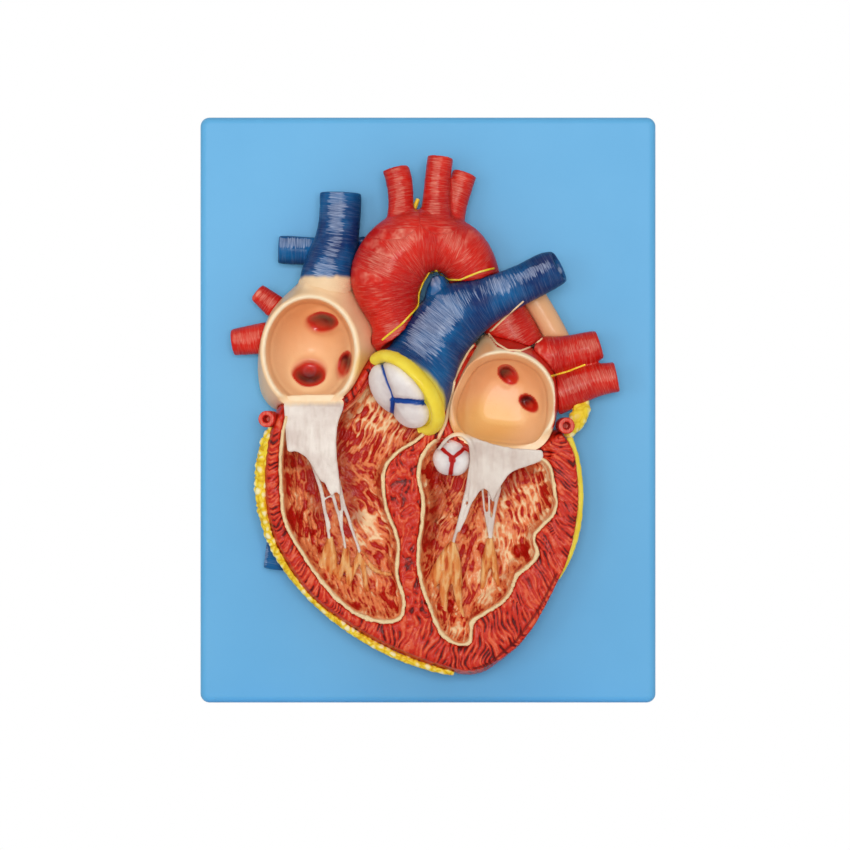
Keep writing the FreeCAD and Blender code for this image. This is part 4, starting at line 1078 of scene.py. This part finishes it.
atria = {
    "voxel": 1.1, "smooth": 6, "flowHeight": 50.5, "flowReach": (6, 12), "dent": 5.5, "sink": 6.0,
    "floorHeight": 5,
    # heights between which the bowl's slope, its smoothing, the flow's smoothing and the rim begin
    "slopeHeight": (36, 50), "smoothHeight": (30, 36), "flowSmooth": (40, 46), "rimHeight": (49, 52),
    "insideEdge": (0.96, 1.04), "slopeEdge": (0.88, 0.95), "depthEdge": 0.99,
    "rounds": {"collar": 60, "slope": 30, "bowl": 40, "flow": 15},
    "plug": {"ring": 1.3, "radius": 1.15, "thickness": 2, "sides": 32, "spots": 16, "drop": 3},
    "right": {
        "name": "rightAtrium", "nodes": ["right_atrium"],
        # the bowl's middle and half sizes, and how far its slope goes on
        "bowl": (-89, 43.5, 31.5, 38), "brim": 1.08,
        "tone": ((0.1, 1.0), 0.9),        # share of painted shadow low and high in the bowl, and of painted light at the foot
        # each vein opening: middle, half sizes, turn, where its side of painted shade lies and how soft the
        # other is
        "openings": [
            (-80.7, 66.2, 12.8, 8.3, 0, 70, 0.45), (-90.5, 28.5, 13.6, 11.3, 0, -90, 0.5),
            (-63.5, 34.2, 6.0, 11.3, -14, 40, 0.4),
        ],
        "flow": [(-104, 3), (-86, 2), (-66, 3)],      # where the bowl runs into the leaflet
        "goldAt": ((-46, 30, 14, 20), 0.7), "rimFrom": (-150, -149),
        # collar at the foot of the superior vena cava, and where its smoothing begins and ends
        "strands": [[(-79.5, 84, 30, 22), (-78.5, 91, 31, 21.5), (-77.2, 95, 31.5, 21.0),
                     (-76.5, 98, 32, 19.6)]],
        "collar": ((80, 86), (94, 97)),
    },
    "left": {
        "name": "leftAtrium", "nodes": ["left_atrium"],
        "bowl": (57, 6, 34, 33), "brim": 1.13, "tone": ((0.2, 0.75), 0.4),
        "openings": [(61, 27, 9.8, 6.4, -40, 130, 0.1), (76.9, 5.1, 9.0, 5.9, -45, 110, 0.1)],
        "flow": [(28, -22), (46, -28), (62, -32), (80, -32), (88, -26)],
        "redFrom": 95.5, "goldAt": ((46, -10, 36, 28), 0.45), "rimFrom": (34, 48),
        "tanAt": [(44, 46), (30, 28), (24, 8), (22, -16)],
        "besideFrom": 70, "besideHeight": (-16, -12),
        "redAbove": ([46, 52, 64, 75, 84, 91], [57, 47.3, 43.6, 46, 53, 60]),
    },
}


def plugged(piece, opening):
    # plate that closes an opening along the slope of the bowl around it
    x, z, wide, tall, turn = opening[:5]
    plug = atria["plug"]
    tree = searchTree(piece)
    rounds = [step * 2 * math.pi / plug["spots"] for step in range(plug["spots"])]
    ring = [turnedBack(x, z, turn, plug["ring"] * wide * math.cos(a), plug["ring"] * tall * math.sin(a))
            for a in rounds]
    level = [heightAt([tree], *spot) for spot in ring]
    slope, *_ = np.linalg.lstsq(np.array([(1, *spot) for spot in ring]), np.array(level), rcond=None)
    bpy.ops.mesh.primitive_cylinder_add(vertices=plug["sides"], radius=plug["radius"],
                                        depth=plug["thickness"])
    plate = bpy.context.object
    for vertex in plate.data.vertices:
        spot = turnedBack(x, z, turn, vertex.co.x * wide, vertex.co.y * tall)
        vertex.co = place(*spot, slope @ (1, *spot) + plug["drop"] * (vertex.co.z - 1))
    return plate


def paintOpenings(piece, kit, flat, bowl, wobble):
    # dents the openings, and returns their red paint and the painted shade on one side of each
    redPaint, deep = np.zeros((2, len(flat)))
    for x, z, wide, tall, turn, shadedSide, soft in kit["openings"]:
        within = inEllipse(flat, x, z, wide, tall, turn) + 0.05 * wobble
        towards = turnedAt(flat, x, z, shadedSide)[0] / max(wide, tall)
        loose = soft * ease(0.4, -0.8, towards)
        redPaint = np.maximum(redPaint, bowl * fade(0.95 - loose, 1.03 + 0.5 * loose, within))
        # painted shade inside each opening, on its shaded side
        deep = np.maximum(deep, bowl * fade(0.55, 1.0, within) * ease(-0.5, 0.4, towards))
        push(piece, bowl * atria["dent"] * fade(0.35, 1.02, within), (0, 1, 0))
    return redPaint, deep


def makeAtrium(kit):
    base = copyOf(kit)
    piece = melted(kit, atria, [base] + [plugged(base, opening) for opening in kit["openings"]])
    rounds = atria["rounds"]
    if "collar" in kit:
        start, end = [ease(*heights, points(piece)[:, 2]) for heights in kit["collar"]]
        smoothWhere(piece, start * (1 - end), rounds["collar"])
    where, flat, _ = surface(piece)
    wobble = softNoise(where / 7, 81)
    reached = inEllipse(flat, *kit["bowl"])
    brim = kit["brim"]
    height = where[:, 1]
    bowl = fade(*atria["insideEdge"], reached) * (height > atria["floorHeight"])
    painted = fade(brim - 0.04, brim, reached) * (height > atria["floorHeight"])
    slope = fade(atria["depthEdge"], brim, reached) * ease(*atria["slopeHeight"], height)
    push(piece, atria["sink"] * slope, (0, 1, 0))
    onSlope = ease(*atria["slopeEdge"], reached) * fade(brim - 0.02, brim, reached)
    smoothWhere(piece, onSlope * ease(*atria["smoothHeight"], height), rounds["slope"])
    smoothWhere(piece, bowl * fade(49, 53, height), rounds["bowl"])
    redPaint, deep = paintOpenings(piece, kit, flat, bowl, wobble)
    right, height, up = points(piece).T
    flow = fade(*atria["flowReach"], awayFrom(flat, kit["flow"]))
    push(piece, flow * np.maximum(height - atria["flowHeight"], 0), (0, 1, 0))
    smoothWhere(piece, flow * ease(*atria["flowSmooth"], height), rounds["flow"])
    upper = ease(-1, 1, (up - kit["bowl"][1]) / kit["bowl"][3])
    (low, high), foot = kit["tone"]
    shadow = painted * (low + (high - low) * upper)
    if "redFrom" in kit:
        over = ease(-0.5, 0.5, up - np.interp(right, *kit["redAbove"])) * (right > kit["redAbove"][0][0])
        beside = ease(brim + 0.06, brim + 0.09, reached + 0.01 * wobble) * (right > kit["besideFrom"])
        beyond = ease(-0.6, 0.6, right - kit["redFrom"] + 0.6 * wobble)
        redPaint = np.max([redPaint, beyond, over, beside * ease(*kit["besideHeight"], up)], axis=0)
        shadow = np.maximum(shadow, 0.85 * fade(3, 9, awayFrom(flat, kit["tanAt"])))
    gold, goldShare = kit["goldAt"]
    mask(piece, "golden", goldShare * fade(0.3, 1.0, inEllipse(flat, *gold)))
    mask(piece, "shadow", shadow)
    # painted light on the steep outer sides and at the bowl's foot
    sides = fade(0.2, 0.7, -normals(piece)[:, 1])
    mask(piece, "pale", np.maximum(painted * (1 - upper) * foot, sides * (1 - painted)))
    mask(piece, "redPaint", redPaint)
    mask(piece, "deepRed", deep)
    onRim = ease(brim - 0.03, brim, reached) * fade(brim + 0.03, brim + 0.07, reached)
    rimmed = ease(*atria["rimHeight"], height) * ease(*kit["rimFrom"], right)
    mask(piece, "rim", rimmed * (1 - flow) * onRim)
    finishPiece(piece, "atrium", kit["nodes"])


makePair(makeAtrium, atria)


# valves of the great vessels: puffed cusps that meet in painted seams, and a broad yellow cuff

valves = {
    "softness": 0.35, "fineness": (160, 120),
    "pulmonary": {
        "name": "pulmonaryValveCusps", "nodes": ["pulmonary_valve_cusps"], "seamMask": "seam", "turned": True,
        "middle": (-22.5, 11.3, 56), "facing": (-0.45, -0.64, -0.62), "wide": 24.6, "deep": 10.5,
        "puff": 5.4, "reach": 12,
        # half a seam's width, then its line
        "seams": [
            (0.8, [(-35, 36), (-33, 29.6), (-30.7, 22.2), (-27.7, 14.7), (-26, 9)]),
            (1.9, [(-26, 8.2), (-14, 7.0), (-2.3, 5.4), (6, 4)]),
            (1.7, [(-25.6, 8.7), (-26.2, 0), (-27, -7)]), (0.6, [(-27, -7), (-29, -20)]),
        ],
    },
    "aortic": {
        "name": "aorticValveCusps", "nodes": ["aortic_valve_cusps"], "seamMask": "redSeam",
        "middle": (18, -36.5, 42), "facing": (0, -1, 0.05), "wide": 13.2, "deep": 11.0,
        "puff": 2.2, "reach": 8,
        "seams": [(1.4, [(4, -24), (9, -28.1), (18.8, -36.4), (28.6, -28.1), (33, -24)]),
                  (1.7, [(18.8, -36.4), (17.6, -44), (16, -54)]), (2.6, [(18.2, -36.6), (18.4, -38)])],
    },
}


def makeCusps(kit):
    segments, rings = valves["fineness"]
    bpy.ops.mesh.primitive_uv_sphere_add(segments=segments, ring_count=rings, radius=1)
    piece = joined(kit["name"], [bpy.context.object])
    x, z, height = kit["middle"]
    turned = Vector(kit["facing"]).to_track_quat("Z", "Y").to_matrix().to_4x4()
    swell = Matrix.Diagonal((kit["wide"] * mm, kit["wide"] * mm, kit["deep"] * mm, 1))
    piece.data.transform(Matrix.Translation(place(x, z, height)) @ turned @ swell)
    if "turned" in kit:
        turnRoot(piece)
    where, flat, facing = surface(piece)
    away = np.array([awayFrom(flat, line) for half, line in kit["seams"]])
    halves = np.array([half for half, line in kit["seams"]])[:, None]
    inFront = ease(0.0, 0.3, facing)
    rounded = np.sqrt(np.clip(away.min(axis=0) / kit["reach"], 0, 1))
    push(piece, inFront * (kit["puff"] * rounded - 0.6 + 0.25 * layeredNoise(where / 6, 95)))
    edge = (away - halves).min(axis=0) + 0.3 * softNoise(where / 3, 97)
    mask(piece, kit["seamMask"], inFront * fade(-valves["softness"], valves["softness"], edge))
    # painted shade beside the seams between the cusps
    mask(piece, "fold", 0.45 * fade(0, 4, edge + 1.5 * layeredNoise(where / 5, 98)))
    finishPiece(piece, "cusp", kit["nodes"])


for valveName in ("pulmonary", "aortic"):
    makeCusps(valves[valveName])

cuff = {"name": "pulmonaryValveRing", "nodes": ["pulmonary_valve_ring"], "voxel": 0.9, "smooth": 4,
        "stretch": 0.7, "shift": 2.2, "grow": 0.5, "waves": (6, 0.3)}


def makeCuff():
    piece = melted(cuff, cuff, [copyOf(cuff)])
    size, depth = cuff["waves"]
    waves = layeredNoise(vertexRows(piece, "co") / mm / size, 99)
    axis = np.array(root["axis"]) * (1, -1, 1)
    push(piece, alongRoot(points(piece)) * cuff["stretch"] + cuff["shift"], axis)
    push(piece, cuff["grow"] + depth * waves)
    turnRoot(piece)
    finishPiece(piece, "ring", cuff["nodes"])


makeCuff()


# fat, the left auricle and the cut ends of the coronary arteries

smallPieces = [
    {"name": "fatPad", "nodes": ["fat_pad"], "paint": "fat", "fromStrands": True,
     # the lumps' size, depth and level, then the paint on their feet and how much it rises
     "lumps": (7.5, 0.8, 0.5), "tone": (0.3, 0.6),
     "strands": [
         [(108, 4, 30, 4), (114, 7, 32, 6), (121, 8, 30, 4)],
         [(110, 2, 34, 4), (117, 2, 34, 6), (122, 0, 30, 3)],
         [(119, 8, 28, 4), (118, -4, 33, 5), (113, -12, 36, 4.5), (107, -18, 40, 3.5)],
         [(112, -4, 32, 5), (109, -12, 36, 4), (105, -20, 42, 3)],
     ]},
    {"name": "leftAuricle", "nodes": ["left_auricle"], "paint": "atrium", "voxel": 1.3, "smooth": 40},
    {"name": "rightFatBand", "nodes": ["right_fat_band"], "paint": "ring", "smooth": 2,
     "shift": (-3.6, -2.0, 0.6), "lumps": (9.0, 0.5, 0.4)},
    {"name": "leftFatBand", "nodes": ["left_fat_band"], "paint": "fat", "smooth": 2, "lumps": (5.4, 2.0, 0.4),
     "strands": [[(-116, -12, 40, 3.5), (-120, -22, 40, 6.0), (-122, -36, 40, 6.6), (-122, -52, 40, 6.2),
                  (-120, -70, 40, 5.2), (-116, -86, 40, 3.5)]]},
    {"name": "rightCoronaryStub", "nodes": ["right_coronary_stub"], "paint": "artery", "voxel": 0.6},
    {"name": "leftCoronaryStub", "nodes": ["left_coronary_stub"], "paint": "artery", "voxel": 0.6},
]
smallLooks = {"voxel": 0.8, "smooth": 4, "shiftBelow": (-163, -140), "upper": (-125, -95), "lower": 0.35,
              "auricleShadow": 0.6}


def makeSmall(kit):
    piece = melted(kit, smallLooks, [] if "fromStrands" in kit else [copyOf(kit)])
    if "shift" in kit:
        push(piece, ease(*smallLooks["shiftBelow"], points(piece)[:, 2]), kit["shift"])
    where = points(piece)
    if "lumps" in kit:
        size, depth, level = kit["lumps"]
        relief = lumps(where / size, 91)
        upper = ease(*smallLooks["upper"], where[:, 2])
        push(piece, (relief - level) * depth * (smallLooks["lower"] + (1 - smallLooks["lower"]) * upper))
        low, rise = kit.get("tone", (0, 1))
        mask(piece, "relief", low + rise * relief)
    if kit["paint"] == "atrium":
        mask(piece, "shadow", np.full(len(where), smallLooks["auricleShadow"]))
    if kit["paint"] == "artery":
        paintVessel(piece, where[:, 0], np.array(brush["from"]))
    finishPiece(piece, kit["paint"], kit["nodes"])


for kit in smallPieces:
    makeSmall(kit)


# thin raised lines along the seams between the vessels, laid on what is already modelled

seamLines = {
    "voxel": 0.5, "smooth": 2,
    "over": ["aorta", "pulmonaryTrunk", "descendingAorta", "leftPulmonaryVeins", "rightAtrium", "leftAtrium",
             "leftAuricle", "heartMuscle"],
    "kits": [       # each line: its radius, then its way
        {"name": "yellowSeamLines", "paint": "fat",
         "lines": [
             (0.9, [(50, 107), (39, 104), (24, 98), (16, 98.5), (7, 105.5), (0.8, 104), (-4, 96), (-7, 88),
                    (-7.5, 78), (-19.6, 64.7), (-34.7, 52.5)]),
             (0.9, [(93, 25.5), (106, 29), (119.5, 34.5)]),
         ],
         "strands": [[(-12, 147, 38, 1.0), (-10, 154, 38, 2.2), (-7.5, 160, 38, 1.6)]]},
        {"name": "pinkSeamLine", "paint": "atrium",
         "lines": [
             (0.9, [(46, 58), (52, 50), (60, 45), (70, 44.5), (80, 48.5), (89, 56)]),
             (0.9, [(49, 61), (60, 71.5), (72, 82)]),
             (1.0, [(49, 61), (39, 54), (31, 45), (25, 34), (19.5, 21.5)]),
             (1.5, [(19.5, 21.5), (16.5, 6), (13, -10), (7, -23), (2, -32), (-1, -42)]),
         ]},
    ],
}


def layLine(trees, radius, line):
    spots = [(x + share * (nextX - x), z + share * (nextZ - z))
             for (x, z), (nextX, nextZ) in zip(line[:-1], line[1:]) for share in (0, 0.25, 0.5, 0.75)]
    return strand([(x, z, heightAt(trees, x, z), radius) for x, z in spots + line[-1:]])


def makeSeamLines(kit):
    trees = [searchTree(bpy.data.objects[name]) for name in seamLines["over"]]
    piece = melted(kit, seamLines, [layLine(trees, *line) for line in kit["lines"]])
    mask(piece, "relief", 0.5 + 0.4 * layeredNoise(points(piece) / 4, 101))
    finishPiece(piece, kit["paint"])


for kit in seamLines["kits"]:
    makeSeamLines(kit)


# board and its fixings keep their solids

board = {
    "pieces": ["base_board", "back_panel"], "looks": {"gloss": 0.42, "coat": 0.1, "coatGloss": 0.3},
    "tones": (120, (102, 181, 231), (107, 185, 234)), "grain": (4, 0.05, 0.3),
}
screws = {
    "pieces": ["back_panel_screws", "heart_fixing_screws"],
    "looks": {"gloss": 0.35, "coat": 0.0, "metal": 1.0},
    "tones": (2, (150, 150, 154), (205, 205, 208)),
}


def dress(name, kit):
    paint, tree, shader, position = newPaint(name, **kit["looks"])
    size, dark, light = kit["tones"]
    layPaint(tree, shader, blend(tree, mottled(tree, position, size)["Tone"], dark, light), {})
    if "grain" in kit:
        size, *relief = kit["grain"]
        bump(tree, shader, mottled(tree, position, size)["Specks"], *relief)
    for nodeName in kit["pieces"]:
        materials = nodes[nodeName].data.materials
        materials.clear()
        materials.append(paint)


dress("boardBlue", board)
dress("platedSteel", screws)
print("Board dressed")


# floor, light and camera

studio = {
    "floorLevel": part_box("base_board")[0].z, "floorSize": 12.0, "floorColour": (252, 252, 252),
    "floorGlow": 1.0, "floorGloss": 0.8, "sky": 0.43,
    "cameraPlace": (-0.0023, -2.879, -0.0115), "frameWidth": 0.6528, "farthest": 50,
    "lamps": [   # place, size and power
        ((-0.9, -2.3, 0.1), 0.6, 5),
        ((0.05, -3.6, 0.1), 1.2, 60),
    ],
}


def straightLook(tree):
    # 1 where the camera, a reflection or glass looks straight at it
    rays = add(tree, "LightPath").outputs
    return maths(tree, "MAXIMUM", rays["Is Camera Ray"],
                 maths(tree, "MAXIMUM", rays["Is Glossy Ray"], rays["Is Transmission Ray"]))


def makeFloor():
    bpy.ops.mesh.primitive_plane_add(size=studio["floorSize"], location=(0, 0, 0))
    floor = bpy.context.object
    floor.name = "studioFloor"
    floor.data.transform(Matrix.Translation((0, 0, studio["floorLevel"])))
    paint = bpy.data.materials.new("paleFloor")
    paint.use_nodes = True
    tree = paint.node_tree
    shader = tree.nodes["Principled BSDF"]
    shader.inputs["Base Color"].default_value = colour(studio["floorColour"])
    shader.inputs["Roughness"].default_value = studio["floorGloss"]
    seen = times(tree, straightLook(tree), studio["floorGlow"])
    glow = add(tree, "Emission", {"Color": (1, 1, 1, 1), "Strength": 1.0}).outputs[0]
    both = add(tree, "MixShader", {0: seen, 1: shader.outputs[0], 2: glow}).outputs[0]
    tree.links.new(both, tree.nodes["Material Output"].inputs["Surface"])
    floor.data.materials.append(paint)


def makeLight():
    world = bpy.context.scene.world or bpy.data.worlds.new("studioSky")
    bpy.context.scene.world = world
    world.use_nodes = True
    tree = world.node_tree
    sky = tree.nodes["Background"].inputs
    sky["Color"].default_value = (1, 1, 1, 1)
    strength = {"Value": straightLook(tree), "To Min": studio["sky"], "To Max": 1.0}
    tree.links.new(add(tree, "MapRange", strength).outputs["Result"], sky["Strength"])
    for number, (spot, size, power) in enumerate(studio["lamps"]):
        data = bpy.data.lights.new("softLamp%d" % number, "AREA")
        data.size = size
        data.energy = power
        lamp = linked(data.name, data)
        lamp.location = spot
        lamp.rotation_euler = (-Vector(spot)).to_track_quat("-Z", "Y").to_euler()


def makeCamera():
    data = bpy.data.cameras.new("frontCamera")
    camera = linked("frontCamera", data)
    camera.location = studio["cameraPlace"]
    camera.rotation_euler = (math.pi / 2, 0, 0)
    data.lens = data.sensor_width * (boardFace - camera.location.y) / studio["frameWidth"]
    data.clip_end = studio["farthest"]
    bpy.context.scene.camera = camera


makeFloor()
makeLight()
makeCamera()
bpy.context.scene.view_settings.view_transform = "Standard"
print("Studio set")
